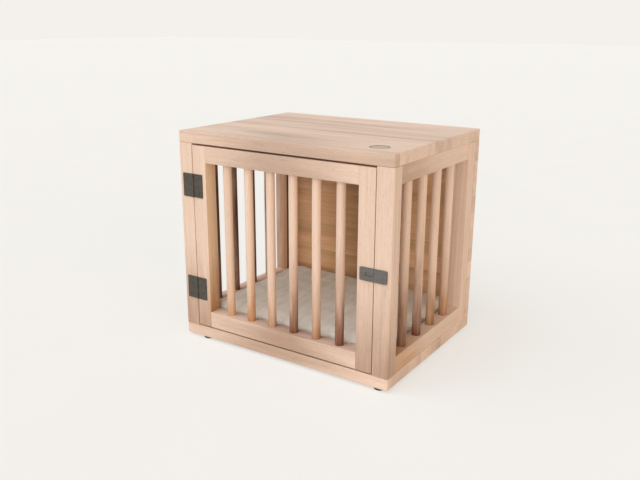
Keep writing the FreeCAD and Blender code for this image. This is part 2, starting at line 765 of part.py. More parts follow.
def latch_housing(screws):
    """The half of the latch on the door, open towards the keeper, with a slot for the button."""
    plate = latch_plate("latch_housing", "Layout.housing_left", "Layout.housing_right",
                        [(0, 0), (0, 1)])
    back_room = "(Layout.bolt_left - 2 * Sizes.bolt_clearance)"
    bay = latch_bay("latch_housing_bay", back_room, f"Layout.housing_right - {back_room}",
                    "Sizes.bolt_height")
    slot = box("latch_housing_slot",
               ("Sizes.button_width + Sizes.bolt_travel + 2 * Sizes.bolt_clearance",
                "Sizes.latch_thickness", "Sizes.button_height + 2 * Sizes.bolt_clearance"),
               ("Layout.button_left - Sizes.bolt_clearance",
                "Layout.front_face - Sizes.latch_thickness",
                "Layout.door_centre - Sizes.button_height / 2 - Sizes.bolt_clearance"))
    return keep(cut("latch_housing", plate, [fuse("latch_housing_room", [bay, slot]), screws]))


def latch_keeper(screws):
    """The half of the latch on the post, with a pocket for the bolt's end."""
    plate = latch_plate("latch_keeper", "Layout.keeper_left", "Layout.keeper_right",
                        [(1, 0), (1, 1)])
    pocket = latch_bay("latch_keeper_pocket", "Layout.keeper_left",
                       "Layout.keeper_pocket_end - Layout.keeper_left", "Sizes.bolt_height")
    return keep(cut("latch_keeper", plate, [pocket, screws]))


def latch_bolt():
    """The flat bolt, drawn back into its housing, with the low button that slides it."""
    back = "Layout.front_face - Sizes.bolt_clearance"
    bar = box("latch_bolt_bar", ("Sizes.bolt_length", "Sizes.bolt_thickness", "Sizes.bolt_height"),
              ("Layout.bolt_left", f"{back} - Sizes.bolt_thickness",
               "Layout.door_centre - Sizes.bolt_height / 2"))
    depth = "(Sizes.latch_thickness + Sizes.button_proud - Sizes.bolt_clearance)"
    button = box("latch_bolt_button", ("Sizes.button_width", depth, "Sizes.button_height"),
                 ("Layout.button_left", f"{back} - {depth}",
                  "Layout.door_centre - Sizes.button_height / 2"))
    return keep(fuse("latch_bolt", [bar, button]))


# ---------------------------------------------------------------- door

def door_stile(name, left, tools):
    """One of the door's two upright members."""
    height = "Layout.door_top - Layout.door_bottom"
    blank = block(f"{name}_blank", ("Sizes.stile_width", "Sizes.door_thickness", height),
                  (left, "Layout.front_face", "Layout.door_bottom"),
                  [("z", ALL_CORNERS, "Sizes.edge_radius")])
    return keep(cut(name, blank, tools))


def door_rail(name, low, tools):
    """One of the door's two level members, between the stiles."""
    blank = block(f"{name}_blank",
                  ("Layout.door_rail_length", "Sizes.door_thickness", "Sizes.door_rail_height"),
                  ("Layout.door_rail_left", "Layout.front_face", low),
                  [("x", ALL_CORNERS, "Sizes.edge_radius")])
    return keep(cut(name, blank, tools))


def door_bars():
    """The round bars of the door, let into its two rails."""
    length = ("Layout.door_top - Layout.door_bottom - 2 * Sizes.door_rail_height"
              " + 2 * Sizes.bar_let_in")
    bars = []
    for row in range(1, int(number("Sizes.door_bar_count")) + 1):
        bars.append(keep(rod(
            f"door_bar_{row}", "Sizes.bar_radius", length,
            (f"Layout.door_bar_start + {row} * Layout.door_bar_pitch",
             "Layout.front_face + Sizes.door_thickness / 2",
             "Layout.door_bottom + Sizes.door_rail_height - Sizes.bar_let_in"))))
    return bars


def door(hinge_screw_group, latch_screw_group):
    """The door's frame and bars."""
    joints = door_dowels()
    bars = door_bars()
    door_stile("door_hinge_stile", "Layout.door_left", [joints, hinge_screw_group])
    door_stile("door_latch_stile", "Layout.door_rail_right", [joints, latch_screw_group])
    door_rail("door_bottom_rail", "Layout.door_bottom", [joints, *bars])
    door_rail("door_top_rail", "Layout.door_top - Sizes.door_rail_height", [joints, *bars])


# ---------------------------------------------------------------- the whole table

sizes = make_sheet("Sizes", SIZES)
make_sheet("Layout", {alias: f"={formula}" for alias, formula in LAYOUT.items()})

case_dowel = dowel("case_dowel", "Sizes.case_dowel_length")
hinge_screw = countersunk_screw("hinge_screw", "Sizes.hinge_screw_radius",
                                "Sizes.hinge_screw_head_radius", "Sizes.hinge_screw_head_height",
                                "Sizes.hinge_screw_length")
latch_screw = countersunk_screw("latch_screw", "Sizes.latch_screw_radius",
                                "Sizes.latch_screw_head_radius", "Sizes.latch_screw_head_height",
                                "Sizes.latch_screw_length")
hinge_centres = {"lower_hinge": "(Layout.door_centre - Sizes.hinge_spacing / 2)",
                 "upper_hinge": "(Layout.door_centre + Sizes.hinge_spacing / 2)"}

end_dowels = post_dowels()
rail_dowels = side_rail_dowels()
back_dowels = panel_dowels()
base_bolts()
insert_group, insert_holes = threaded_inserts()
top_screw_group, top_pockets = top_screws()
nails = glides()
stop_screws = door_stop()
inlay = corner_inlay()

board("base_board", "Layout.base_bottom", [base_bolt_holes(), end_dowels, back_dowels, nails])
board("top_board", "Layout.cabin_top",
      [end_dowels, back_dowels, top_screw_group, stop_screws, inlay])
back_panel([back_dowels])
side_frame("left", "Layout.left_rail_outer")
side_frame("right", "Layout.right_rail_outer - Sizes.rail_thickness")

frame_screws = hinge_screws("frame", "-")
door_screws = hinge_screws("door", "+")
for hinge_name, hinge_centre in hinge_centres.items():
    hinge(hinge_name, hinge_centre, frame_screws, door_screws)

housing_screws = latch_screws("latch_housing_screws",
                              "(Layout.housing_left + Layout.housing_right) / 2")
keeper_screws = latch_screws("latch_keeper_screws",
                             "(Layout.keeper_pocket_end + Layout.keeper_right) / 2")
latch_housing(housing_screws)
latch_keeper(keeper_screws)
latch_bolt()

posts(frame_screws, keeper_screws)
door(door_screws, housing_screws)
cushion()

doc.recompute()
for item in doc.Objects:
    if {"Invalid", "Error"} & set(item.State):
        raise RuntimeError(f"{item.Label} failed: {item.State}")
for node in nodes:
    if node.Shape.isNull() or not node.Shape.isValid() or not node.Shape.Solids:
        raise RuntimeError(f"{node.Label} is not a valid solid")

os.makedirs("parts", exist_ok=True)
for node in nodes:
    node.Shape.exportStep(f"parts/{node.Label}.step")
    print(f"{node.Label}: {len(node.Shape.Solids)} solids, {node.Shape.Volume:.0f} mm3")
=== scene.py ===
# %% [markdown]
# # A dog crate end table, dressed in Blender
#
# The table's construction comes from a CAD model, piece by piece and at real size. This script
# loads those pieces, gives each its wood, metal or plastic, and models what CAD left plain: the
# floor cushion, the screw heads, the latch's thumb button and the turned inlay in the top.
# Everything is in metres, +Z up, with the door on the -Y side.

# %% Load the CAD model
import math

import bpy
from mathutils import Matrix, Vector, noise as perlin


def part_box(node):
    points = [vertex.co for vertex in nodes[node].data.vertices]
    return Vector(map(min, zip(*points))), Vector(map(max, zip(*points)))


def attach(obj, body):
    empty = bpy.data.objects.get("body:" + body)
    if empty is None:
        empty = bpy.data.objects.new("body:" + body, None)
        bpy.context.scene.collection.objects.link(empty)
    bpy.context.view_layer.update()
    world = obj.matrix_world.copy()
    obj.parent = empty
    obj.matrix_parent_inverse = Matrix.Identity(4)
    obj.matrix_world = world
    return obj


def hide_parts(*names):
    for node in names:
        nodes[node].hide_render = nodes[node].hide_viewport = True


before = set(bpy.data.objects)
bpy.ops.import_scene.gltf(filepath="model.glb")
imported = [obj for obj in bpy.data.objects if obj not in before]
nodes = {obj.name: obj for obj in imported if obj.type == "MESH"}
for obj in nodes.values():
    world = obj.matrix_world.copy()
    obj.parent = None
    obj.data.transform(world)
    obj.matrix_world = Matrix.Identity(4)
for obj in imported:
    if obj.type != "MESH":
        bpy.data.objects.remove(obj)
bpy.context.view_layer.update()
print("pieces from CAD:", len(nodes))

# %% [markdown]
# ## Camera
#
# The photograph was taken from the right of the door, a little above the top board. The place
# and the angles below were worked out from the straight edges of the case, so a render from
# here can be laid over the photograph. A long enough lens keeps the verticals nearly parallel.

# %% Camera at the photograph's viewpoint
CAMERA_PLACE = Vector((1.0328, -1.6195, 0.8381))
CAMERA_HEADING = math.radians(33.350)
CAMERA_DOWN = math.radians(16.559)
CAMERA_ROLL = math.radians(0.282)
LENS_MM = 41.235
SENSOR_MM = 36.0


def add_camera():
    """A camera that looks along +Y, turned left by the heading and tipped down."""
    data = bpy.data.cameras.new("camera")
    data.lens = LENS_MM
    data.sensor_width = SENSOR_MM
    camera = bpy.data.objects.new("camera", data)
    bpy.context.collection.objects.link(camera)
    turn = Matrix.Rotation(CAMERA_HEADING, 4, "Z")
    tip = Matrix.Rotation(math.pi / 2 - CAMERA_DOWN, 4, "X")
    roll = Matrix.Rotation(CAMERA_ROLL, 4, "Z")
    camera.matrix_world = Matrix.Translation(CAMERA_PLACE) @ turn @ tip @ roll
    bpy.context.scene.camera = camera


add_camera()

# %% [markdown]
# ## Helpers for shader nodes
#
# Every material here is a small network of nodes. Written out one call at a time, such a
# network is long and hard to read. One helper that adds a node, sets its options and fills its
# sockets, either with a value or with a link, keeps each network close to a recipe. Most values
# of a noise lie within NOISE_SPAN, so a pattern is usually stretched from there.

# %% Node helpers
def fill(tree, socket, value):
    """Link a socket to another one, or give it a value."""
    if isinstance(value, bpy.types.NodeSocket):
        tree.links.new(value, socket)
    else:
        socket.default_value = value


def add_node(tree, kind, sockets=None, **options):
    """Add a node, set its options, then fill its sockets by name or number."""
    made = tree.nodes.new(kind)
    for option, value in options.items():
        setattr(made, option, value)
    for name, value in (sockets or {}).items():
        fill(tree, made.inputs[name], value)
    return made


def calc(tree, operation, *values, clamp=False):
    """One Math node on one to three values."""
    return add_node(tree, "ShaderNodeMath", dict(enumerate(values)), operation=operation,
                    use_clamp=clamp).outputs[0]


def vector_calc(tree, operation, *values):
    """One Vector Math node on one or two vectors."""
    return add_node(tree, "ShaderNodeVectorMath", dict(enumerate(values)), operation=operation)


def remap(tree, value, low, high, to_low=0.0, to_high=1.0, smooth=False):
    """Map Range, clamped at both ends."""
    sockets = {"Value": value, "From Min": low, "From Max": high,
               "To Min": to_low, "To Max": to_high}
    kind = "SMOOTHSTEP" if smooth else "LINEAR"
    return add_node(tree, "ShaderNodeMapRange", sockets, interpolation_type=kind).outputs[0]


def blend_colour(tree, share, first, second, mode="MIX"):
    """Mix two colours."""
    sockets = {0: share, 6: first, 7: second}
    return add_node(tree, "ShaderNodeMix", sockets, data_type="RGBA", blend_type=mode).outputs[2]


def noise(tree, vector, scale, detail=2.0, roughness=0.5):
    """A Noise Texture's value."""
    sockets = {"Vector": vector, "Scale": scale, "Detail": detail, "Roughness": roughness}
    return add_node(tree, "ShaderNodeTexNoise", sockets).outputs["Fac"]


NOISE_SPAN = (0.3, 0.7)


def stretch(tree, vector, factors):
    """Scale a vector unevenly, so that a pattern runs long in one direction."""
    return vector_calc(tree, "MULTIPLY", vector, factors).outputs[0]


SOCKET_KINDS = {"colour": "NodeSocketColor", "value": "NodeSocketFloat",
                "vector": "NodeSocketVector"}


def new_group(name, takes, gives):
    """An empty node group with named inputs and outputs."""
    tree = bpy.data.node_groups.new(name, "ShaderNodeTree")
    for side, sockets in (("INPUT", takes), ("OUTPUT", gives)):
        for socket, kind in sockets.items():
            tree.interface.new_socket(socket, in_out=side, socket_type=SOCKET_KINDS[kind])
    start = tree.nodes.new("NodeGroupInput")
    end = tree.nodes.new("NodeGroupOutput")
    return tree, start.outputs, end.inputs


def place_group(tree, group, sockets):
    """Use a node group in a material."""
    made = tree.nodes.new("ShaderNodeGroup")
    made.node_tree = group
    for name, value in sockets.items():
        fill(tree, made.inputs[name], value)
    return made.outputs


def new_material(name):
    """A material with a bare Principled shader, and the piece's own coordinates in metres."""
    material = bpy.data.materials.new(name)
    material.use_nodes = True
    tree = material.node_tree
    shader = tree.nodes["Principled BSDF"]
    place = add_node(tree, "ShaderNodeTexCoord").outputs["Object"]
    return material, tree, shader, place


def add_bump(tree, shader, height, strength, distance):
    """Let a height pattern tilt the surface a little."""
    bump = add_node(tree, "ShaderNodeBump", {"Height": height, "Strength": strength,
                                             "Distance": distance})
    tree.links.new(bump.outputs[0], shader.inputs["Normal"])


def rgb(red, green, blue):
    """A colour picked as 0 to 255 screen values, turned into the linear light shaders use."""
    def linear(value):
        value /= 255
        return value / 12.92 if value <= 0.04045 else ((value + 0.055) / 1.055) ** 2.4
    return (linear(red), linear(green), linear(blue), 1.0)


# %% [markdown]
# ## Beech
#
# Beech is a pale, even wood with a pinkish cast. Up close it shows fine growth rings, hair
# fine fibres and short dark flecks, and some boards carry a greyish brown heart. A flat image
# would have to be stretched over every face. A pattern worked out in three dimensions is
# better here: it runs along the grain on the long faces and shows its rings on the cut ends,
# just as real timber does. The grain runs along the group's X axis, and each material turns
# its piece's coordinates to suit.

# %% The grain of one piece of beech
RING_STRETCH = (0.07, 1.0, 1.0)
RING_SHARE = 0.30
SWAY_SCALE = 7.0
SWAY = (0.0, 0.030, 0.030)
PITH_OFFSET = (0.0, 0.105, 0.062)
FIBRE_STRETCH = (0.02, 1.0, 1.0)
FIBRE_SCALE = 1300.0
FIBRE_SHARE = 0.20
FIBRE_HEIGHT = 0.6
BAND_SCALE = 170.0
BAND_SHARE = 0.42
FLECK_STRETCH = (0.14, 1.0, 1.0)
FLECK_SCALE = 520.0
FLECK_SHADE = 0.12
FLECK_DEPTH = 0.5
STREAK_STRETCH = (0.10, 1.0, 1.0)
STREAK_SCALE = 13.0
CLOUD_STRETCH = (0.5, 1.0, 1.0)
CLOUD_SCALE = 9.0
CLOUD_TONES = (0.955, 1.03)
WOOD_ROUGHNESS = (0.44, 0.60)


def make_grain_group():
    """Rings, fibres, flecks and heart streaks along X."""
    tree, given, made = new_group(
        "beech grain",
        {"Vector": "vector", "Pale": "colour", "Dark": "colour", "Heart": "colour",
         "Ring Scale": "value", "Streak": "value", "Tone": "value"},
        {"Color": "colour", "Roughness": "value", "Height": "value"})
    place = given["Vector"]
    along = stretch(tree, place, RING_STRETCH)
    bent = add_node(tree, "ShaderNodeTexNoise",
                    {"Vector": along, "Scale": SWAY_SCALE, "Detail": 2.0})
    sway = stretch(tree, bent.outputs["Color"], SWAY)
    swayed = vector_calc(tree, "ADD", along, sway).outputs[0]
    centred = vector_calc(tree, "ADD", swayed, PITH_OFFSET).outputs[0]
    rings = add_node(tree, "ShaderNodeTexWave",
                     {"Vector": centred, "Scale": given["Ring Scale"], "Distortion": 1.6,
                      "Detail": 2.0, "Detail Scale": 0.6},
                     wave_type="RINGS", rings_direction="X", wave_profile="SAW").outputs["Fac"]
    fibres = noise(tree, stretch(tree, place, FIBRE_STRETCH), FIBRE_SCALE, 3.0, 0.6)
    bands = noise(tree, stretch(tree, place, FIBRE_STRETCH), BAND_SCALE, 3.0, 0.6)
    specks = noise(tree, stretch(tree, place, FLECK_STRETCH), FLECK_SCALE, 1.0)
    flecks = remap(tree, specks, 0.62, 0.70)
    streak = noise(tree, stretch(tree, place, STREAK_STRETCH), STREAK_SCALE, 4.0, 0.55)
    heart = calc(tree, "MULTIPLY", remap(tree, streak, 0.47, 0.70), given["Streak"], clamp=True)
    drift = noise(tree, stretch(tree, place, CLOUD_STRETCH), CLOUD_SCALE)
    cloud = remap(tree, drift, *NOISE_SPAN, *CLOUD_TONES)

    ring_share = calc(tree, "MULTIPLY", rings, RING_SHARE)
    band_share = calc(tree, "MULTIPLY", remap(tree, bands, *NOISE_SPAN), BAND_SHARE)
    fibre_share = calc(tree, "MULTIPLY", remap(tree, fibres, *NOISE_SPAN), FIBRE_SHARE)
    share = calc(tree, "ADD", calc(tree, "ADD", ring_share, band_share), fibre_share, clamp=True)
    wood = blend_colour(tree, share, given["Pale"], given["Dark"])
    wood = blend_colour(tree, heart, wood, given["Heart"])
    shade = calc(tree, "MULTIPLY", calc(tree, "MULTIPLY", cloud, given["Tone"]),
                 calc(tree, "SUBTRACT", 1.0, calc(tree, "MULTIPLY", flecks, FLECK_SHADE)))
    shaded = add_node(tree, "ShaderNodeVectorMath", {0: wood, 3: shade}, operation="SCALE")
    tree.links.new(shaded.outputs[0], made["Color"])
    tree.links.new(remap(tree, share, 0.0, 1.0, *WOOD_ROUGHNESS), made["Roughness"])
    height = calc(tree, "SUBTRACT", calc(tree, "MULTIPLY", fibres, FIBRE_HEIGHT),
                  calc(tree, "MULTIPLY", flecks, FLECK_DEPTH))
    tree.links.new(height, made["Height"])
    return tree


# %% [markdown]
# ## Glued staves
#
# The two boards and the back are too wide for one plank, so each is glued up from staves. Each
# stave comes from another plank, so its tone and its rings jump at the glue line. A Voronoi
# pattern in one dimension gives bands of uneven width, and its random colour for each band
# tells which band a point is in: enough to shift the grain and the tone.

# %% Staves across the group's Y axis
STAVE_SHIFT = (3.1, 1.7, 2.3)
STAVE_UNEVENNESS = 0.45
GLUE_LINE = 0.00035
GLUE_SHADE = 0.80


def make_stave_group():
    """Bands across Y, each with its own tone and its own place in the timber."""
    tree, given, made = new_group(
        "glued staves", {"Vector": "vector", "Stave Width": "value", "Seed": "value",
                         "Contrast": "value"},
        {"Vector": "vector", "Tone": "value"})
    across = add_node(tree, "ShaderNodeSeparateXYZ", {0: given["Vector"]}).outputs["Y"]
    across = calc(tree, "ADD", across, given["Seed"])
    scale = calc(tree, "DIVIDE", 1.0, given["Stave Width"])
    sockets = {"W": across, "Scale": scale, "Randomness": STAVE_UNEVENNESS}
    band = add_node(tree, "ShaderNodeTexVoronoi", sockets, voronoi_dimensions="1D")
    edge = add_node(tree, "ShaderNodeTexVoronoi", sockets, voronoi_dimensions="1D",
                    feature="DISTANCE_TO_EDGE")
    shift = stretch(tree, band.outputs["Color"], STAVE_SHIFT)
    tree.links.new(vector_calc(tree, "ADD", given["Vector"], shift).outputs[0], made["Vector"])
    parts = add_node(tree, "ShaderNodeSeparateColor", {0: band.outputs["Color"]})
    wide = calc(tree, "SUBTRACT", parts.outputs[0], 0.5)
    tone = calc(tree, "ADD", 1.0, calc(tree, "MULTIPLY", wide, given["Contrast"]))
    gap = calc(tree, "MULTIPLY", scale, GLUE_LINE)
    from_glue = calc(tree, "DIVIDE", edge.outputs["Distance"], gap)
    line = remap(tree, from_glue, 0.4, 1.0, GLUE_SHADE, 1.0)
    tree.links.new(calc(tree, "MULTIPLY", tone, line), made["Tone"])
    return tree


# %% [markdown]
# ## Brown patches and painted shade
#
# The timber isn't one tone from end to end. The boards and the door's rails have a greyer,
# darker middle, and posts and bars are darker towards the floor: partly brown timber, partly
# painted shade near the floor. A soft patch is a stretched ball: its mask is 1 at the centre
# and falls to 0 at its reach, and noise that runs with the grain frays its edge, as the border
# of heartwood is frayed. Patches on faces that look into the crate are painted shade and
# painted warm bounce light, so they stay when the light changes. The right rails carry a
# painted shadow of the front post.

# %% A soft patch in the timber
FRAY_STRETCH = (0.12, 1.0, 1.0)
FRAY_SCALE = 42.0
FRAY = 0.28


def make_patch_group():
    """A mask round a centre, frayed along the grain."""
    tree, given, made = new_group(
        "timber tint and painted shade patch", {"Vector": "vector", "Grain": "vector", "Centre": "vector",
                        "Reach": "vector"}, {"Mask": "value"})
    offset = vector_calc(tree, "SUBTRACT", given["Vector"], given["Centre"]).outputs[0]
    scaled = vector_calc(tree, "DIVIDE", offset, given["Reach"]).outputs[0]
    distance = vector_calc(tree, "LENGTH", scaled).outputs["Value"]
    fray = noise(tree, stretch(tree, given["Grain"], FRAY_STRETCH), FRAY_SCALE, 3.0, 0.6)
    frayed = calc(tree, "ADD", distance, remap(tree, fray, 0.2, 0.8, -FRAY, FRAY))
    tree.links.new(remap(tree, frayed, 0.0, 1.0, 1.0, 0.0, smooth=True), made["Mask"])
    return tree


grain_group = make_grain_group()
stave_group = make_stave_group()
patch_group = make_patch_group()

# %% [markdown]
# ## Wood for each piece
#
# No two pieces of timber are alike. Each piece of the table gets a material of its own from
# one function: the direction of its grain, its place in the imaginary log, how dark it is, how
# much heart it has, and its patches of brown timber and painted shade.

# %% Beech material
ALONG_X = (0.0, 0.0, 0.0)
ALONG_Y = (0.0, 0.0, -math.pi / 2)
ALONG_Z = (0.0, math.pi / 2, 0.0)
LYING_STAVES = (-math.pi / 2, 0.0, 0.0)
PALE = rgb(243, 216, 196)
DARK = rgb(222, 186, 161)
HEART = rgb(180, 144, 120)
RING_SCALE = 85.0
LACQUER_SHINE = 0.22
LOG_STEP = (0.731, 1.317, 0.413)
LOG_SIZE = (5, 3, 3)
STAVE_STEP = 0.37


def beech(name, turn, seed, tone=1.0, streak=0.3, staves=None, contrast=0.16, patches=()):
    """Beech whose grain runs as `turn` says. A patch is (centre, reach, tint)."""
    material, tree, shader, place = new_material(name)
    in_log = tuple(seed * step % size for step, size in zip(LOG_STEP, LOG_SIZE))
    sockets = {"Vector": place, "Rotation": turn, "Location": in_log}
    vector = add_node(tree, "ShaderNodeMapping", sockets).outputs[0]
    shade = tone
    if staves:
        glued = place_group(tree, stave_group, {"Vector": vector, "Stave Width": staves,
                                                "Seed": seed * STAVE_STEP,
                                                "Contrast": contrast})
        vector = glued["Vector"]
        shade = calc(tree, "MULTIPLY", glued["Tone"], tone)
    wood = place_group(tree, grain_group, {"Vector": vector, "Pale": PALE, "Dark": DARK,
                                           "Heart": HEART, "Ring Scale": RING_SCALE,
                                           "Streak": streak, "Tone": shade})
    colour = wood["Color"]
    for centre, reach, tint in patches:
        mask = place_group(tree, patch_group, {"Vector": place, "Grain": vector,
                                               "Centre": centre, "Reach": reach})
        colour = blend_colour(tree, mask["Mask"], colour, (*tint, 1.0), "MULTIPLY")
    tree.links.new(colour, shader.inputs["Base Color"])
    tree.links.new(wood["Roughness"], shader.inputs["Roughness"])
    shader.inputs["Specular IOR Level"].default_value = LACQUER_SHINE
    add_bump(tree, shader, wood["Height"], strength=0.25, distance=0.0004)
    return material


def dress(name, material):
    """Give a CAD piece its material."""
    slots = nodes[name].data.materials
    slots.clear()
    slots.append(material)


# %% Boards and back panel
ANY_WIDTH = 9.0
WIDE_STAVE = 0.062
PANEL_STAVE = 0.048
TOP_PATCHES = [((0.0, -0.235, 0.555), (0.26, 0.17, 0.09), (0.77, 0.75, 0.74)),
               ((-0.06, -0.155, 0.569), (0.17, 0.05, 0.02), (0.82, 0.80, 0.78))]
BASE_PATCHES = [((-0.02, -0.240, 0.022), (0.33, 0.12, 0.09), (0.62, 0.57, 0.53))]
PANEL_FACE = 0.2145
SKIN_DEEP = 0.006
# On the back panel's inner face: painted warm bounce light all over, and painted shade in its
# middle.
PANEL_WARM_LIGHT_AND_SHADE = [((0.0, PANEL_FACE, 0.3), (ANY_WIDTH, SKIN_DEEP, ANY_WIDTH), (1.0, 0.84, 0.60)),
                 ((-0.01, PANEL_FACE, 0.3), (0.19, SKIN_DEEP, ANY_WIDTH), (0.52, 0.49, 0.46))]
dress("top_board", beech("beech_top", ALONG_X, 3.0, 0.97, 0.55, WIDE_STAVE,
                         patches=TOP_PATCHES))
dress("base_board", beech("beech_base", ALONG_X, 11.0, 0.97, 0.40, WIDE_STAVE,
                          patches=BASE_PATCHES))
dress("back_panel", beech("beech_panel", LYING_STAVES, 7.0, 1.03, 0.60, PANEL_STAVE, 0.14,
                          patches=PANEL_WARM_LIGHT_AND_SHADE))

# %% Posts, rails and stiles
def foot(height, red, green, blue):
    """A patch that darkens an upright piece from the floor up to a height."""
    return ((0.0, 0.0, 0.0), (ANY_WIDTH, ANY_WIDTH, height), (red, green, blue))


# Posts and stiles are darker towards the floor: partly brown timber, partly painted shade.
POST_FOOT_BROWN_AND_SHADE = foot(0.30, 0.60, 0.52, 0.47)
# On the hinge stile's inner face: painted warm bounce light, and painted shade low down.
STILE_WARM_LIGHT_AND_SHADE = [((-0.227, -0.22, 0.3), (0.004, ANY_WIDTH, ANY_WIDTH), (1.0, 0.97, 0.84)),
                ((-0.227, -0.22, 0.04), (0.004, ANY_WIDTH, 0.18), (0.80, 0.64, 0.46))]
UPRIGHTS = {
    "front_left_post": (2.0, 1.0, 0.20, []), "front_right_post": (5.0, 0.97, 0.22, []),
    "door_hinge_stile": (4.0, 1.02, 0.06, STILE_WARM_LIGHT_AND_SHADE),
    "door_latch_stile": (6.0, 0.96, 0.12, []),
}
for name, (seed, tone, streak, inside) in UPRIGHTS.items():
    dress(name, beech(f"beech_{name}", ALONG_Z, seed, tone, streak,
                      patches=[POST_FOOT_BROWN_AND_SHADE, *inside]))
# Painted shade on the back left post, deepest on its inner face.
BACK_LEFT_SHADE = [((-0.272, 0.18, 0.3), (0.07, ANY_WIDTH, ANY_WIDTH), (0.60, 0.43, 0.29)),
             ((-0.272, 0.20, 0.3), (0.004, ANY_WIDTH, ANY_WIDTH), (0.32, 0.22, 0.15))]
dress("back_left_post", beech("beech_back_left_post", ALONG_Z, 8.0, 1.0, 0.30,
                              patches=BACK_LEFT_SHADE))
dress("back_right_post", beech("beech_back_right_post", ALONG_Z, 9.0, 1.0, 0.35))

DOOR_MIDDLE = (0.26, 0.2, 0.2)
DOOR_RAILS = {
    "door_top_rail": (12.0, (0.0, -0.24, 0.513), (0.74, 0.71, 0.69)),
    "door_bottom_rail": (13.0, (0.02, -0.24, 0.061), (0.66, 0.60, 0.56)),
}
for name, (seed, centre, tint) in DOOR_RAILS.items():
    dress(name, beech(f"beech_{name}", ALONG_X, seed, 0.97, 0.35,
                      patches=[(centre, DOOR_MIDDLE, tint)]))

# Painted shade on the inner top of the left bottom rail.
LEFT_SILL_SHADE = ((-0.27, 0.0, 0.09), (0.05, ANY_WIDTH, 0.06), (0.66, 0.50, 0.38))
# Painted shadow of the front right post on the right rails, darkest next to the post.
RIGHT_TOP_POST_SHADOW = ((0.3, -0.2, 0.5), (ANY_WIDTH, 0.24, ANY_WIDTH), (0.72, 0.66, 0.61))
RIGHT_SILL_POST_SHADOW = ((0.3, -0.2, 0.0), (ANY_WIDTH, 0.22, ANY_WIDTH), (0.80, 0.65, 0.48))
SIDE_RAILS = {
    "left_top_rail": (14.0, []), "left_bottom_rail": (15.0, [LEFT_SILL_SHADE]),
    "right_top_rail": (16.0, [RIGHT_TOP_POST_SHADOW]), "right_bottom_rail": (17.0, [RIGHT_SILL_POST_SHADOW]),
}
for name, (seed, patches) in SIDE_RAILS.items():
    dress(name, beech(f"beech_{name}", ALONG_Y, seed, 1.0, 0.22, patches=patches))

dress("door_stop", beech("beech_door_stop", ALONG_X, 18.0))

# %% [markdown]
# ## Bars
#
# The round bars are turned from the same wood. Some of them are darker towards the floor:
# partly brown timber, partly painted shade near the floor. Each bar that does so has two foot
# patches of one colour, a tall one and a shorter one: where both lie, the darkening is deepest.

# %% Round bars
# Darker feet of the bars: partly brown timber, partly painted shade near the floor.
BAR_FEET_BROWN_AND_SHADE = {
    "door_bar_1": (0.30, 0.84, 0.72, 0.60), "door_bar_2": (0.30, 0.74, 0.55, 0.38),
    "door_bar_3": (0.32, 0.58, 0.38, 0.26), "door_bar_4": (0.38, 0.26, 0.10, 0.02),
    "door_bar_5": (0.29, 0.56, 0.36, 0.22), "door_bar_6": (0.37, 0.38, 0.22, 0.16),
    "right_bar_1": (0.36, 0.28, 0.12, 0.02), "right_bar_2": (0.38, 0.22, 0.06, 0.0),
    "right_bar_3": (0.34, 0.50, 0.32, 0.14), "right_bar_4": (0.34, 0.56, 0.35, 0.16),
}
HEEL_SHARE = 0.55
BAR_TONE = 0.99
BAR_TONE_SWING = 0.02
BAR_TONE_STEP = 2.3
# Painted shade on the inner half of each left bar, the half that faces into the crate.
LEFT_INSIDE_SHADE = ((-0.276, 0.0, 0.0), (0.036, ANY_WIDTH, ANY_WIDTH), (0.14, 0.07, 0.03))
bar_names = sorted(name for name in nodes if "_bar_" in name)
for row, name in enumerate(bar_names):
    tone = BAR_TONE + BAR_TONE_SWING * math.sin(row * BAR_TONE_STEP)
    if name in BAR_FEET_BROWN_AND_SHADE:
        height, *tint = BAR_FEET_BROWN_AND_SHADE[name]
        patches = [foot(height, *tint), foot(height * HEEL_SHARE, *tint)]
    else:
        patches = [LEFT_INSIDE_SHADE]
    dress(name, beech(f"beech_{name}", ALONG_Z, 20.0 + row, tone, 0.18, patches=patches))
print("bars:", len(bar_names))

# %% [markdown]
# ## Dowels
#
# The dowels are hidden in the joints. They are beech too, plain and a little darker.

# %% Hidden dowels
plain_beech = beech("beech_dowels", ALONG_X, 41.0, 0.94, 0.0)
for name in ("post_dowels", "side_rail_dowels", "panel_dowels", "door_dowels"):
    dress(name, plain_beech)

# %% [markdown]
# ## Metal, plastic and rubber
#
# The hinges and the latch are flat steel with a dull, darkened finish. Rolled sheet isn't a
# mirror: it has faint brush lines and a slight mottle that spread the light. A shared group
# makes both, and each metal sets its own colour and direction.

# %% Worn metal group
BRUSH_STRETCH = (0.03, 1.0, 1.0)
BRUSH_SCALE = 2600.0
BRUSH_SHARE = 0.35
MOTTLE_SCALE = 90.0
MOTTLE_SHARE = 0.65


def make_metal_group():
    """Brush lines along X and a soft mottle, as a colour, a roughness and a height."""
    tree, given, made = new_group(
        "dull metal", {"Vector": "vector", "Light": "colour", "Dark": "colour",
                       "Smooth": "value", "Rough": "value"},
        {"Color": "colour", "Roughness": "value", "Height": "value"})
    lines = noise(tree, stretch(tree, given["Vector"], BRUSH_STRETCH), BRUSH_SCALE)
    mottle = noise(tree, given["Vector"], MOTTLE_SCALE, 4.0, 0.6)
    share = calc(tree, "ADD", calc(tree, "MULTIPLY", lines, BRUSH_SHARE),
                 calc(tree, "MULTIPLY", mottle, MOTTLE_SHARE), clamp=True)
    spread = remap(tree, share, 0.35, 0.65)
    tree.links.new(blend_colour(tree, spread, given["Light"], given["Dark"]), made["Color"])
    rough = remap(tree, share, *NOISE_SPAN, given["Smooth"], given["Rough"])
    tree.links.new(rough, made["Roughness"])
    tree.links.new(lines, made["Height"])
    return tree


metal_group = make_metal_group()


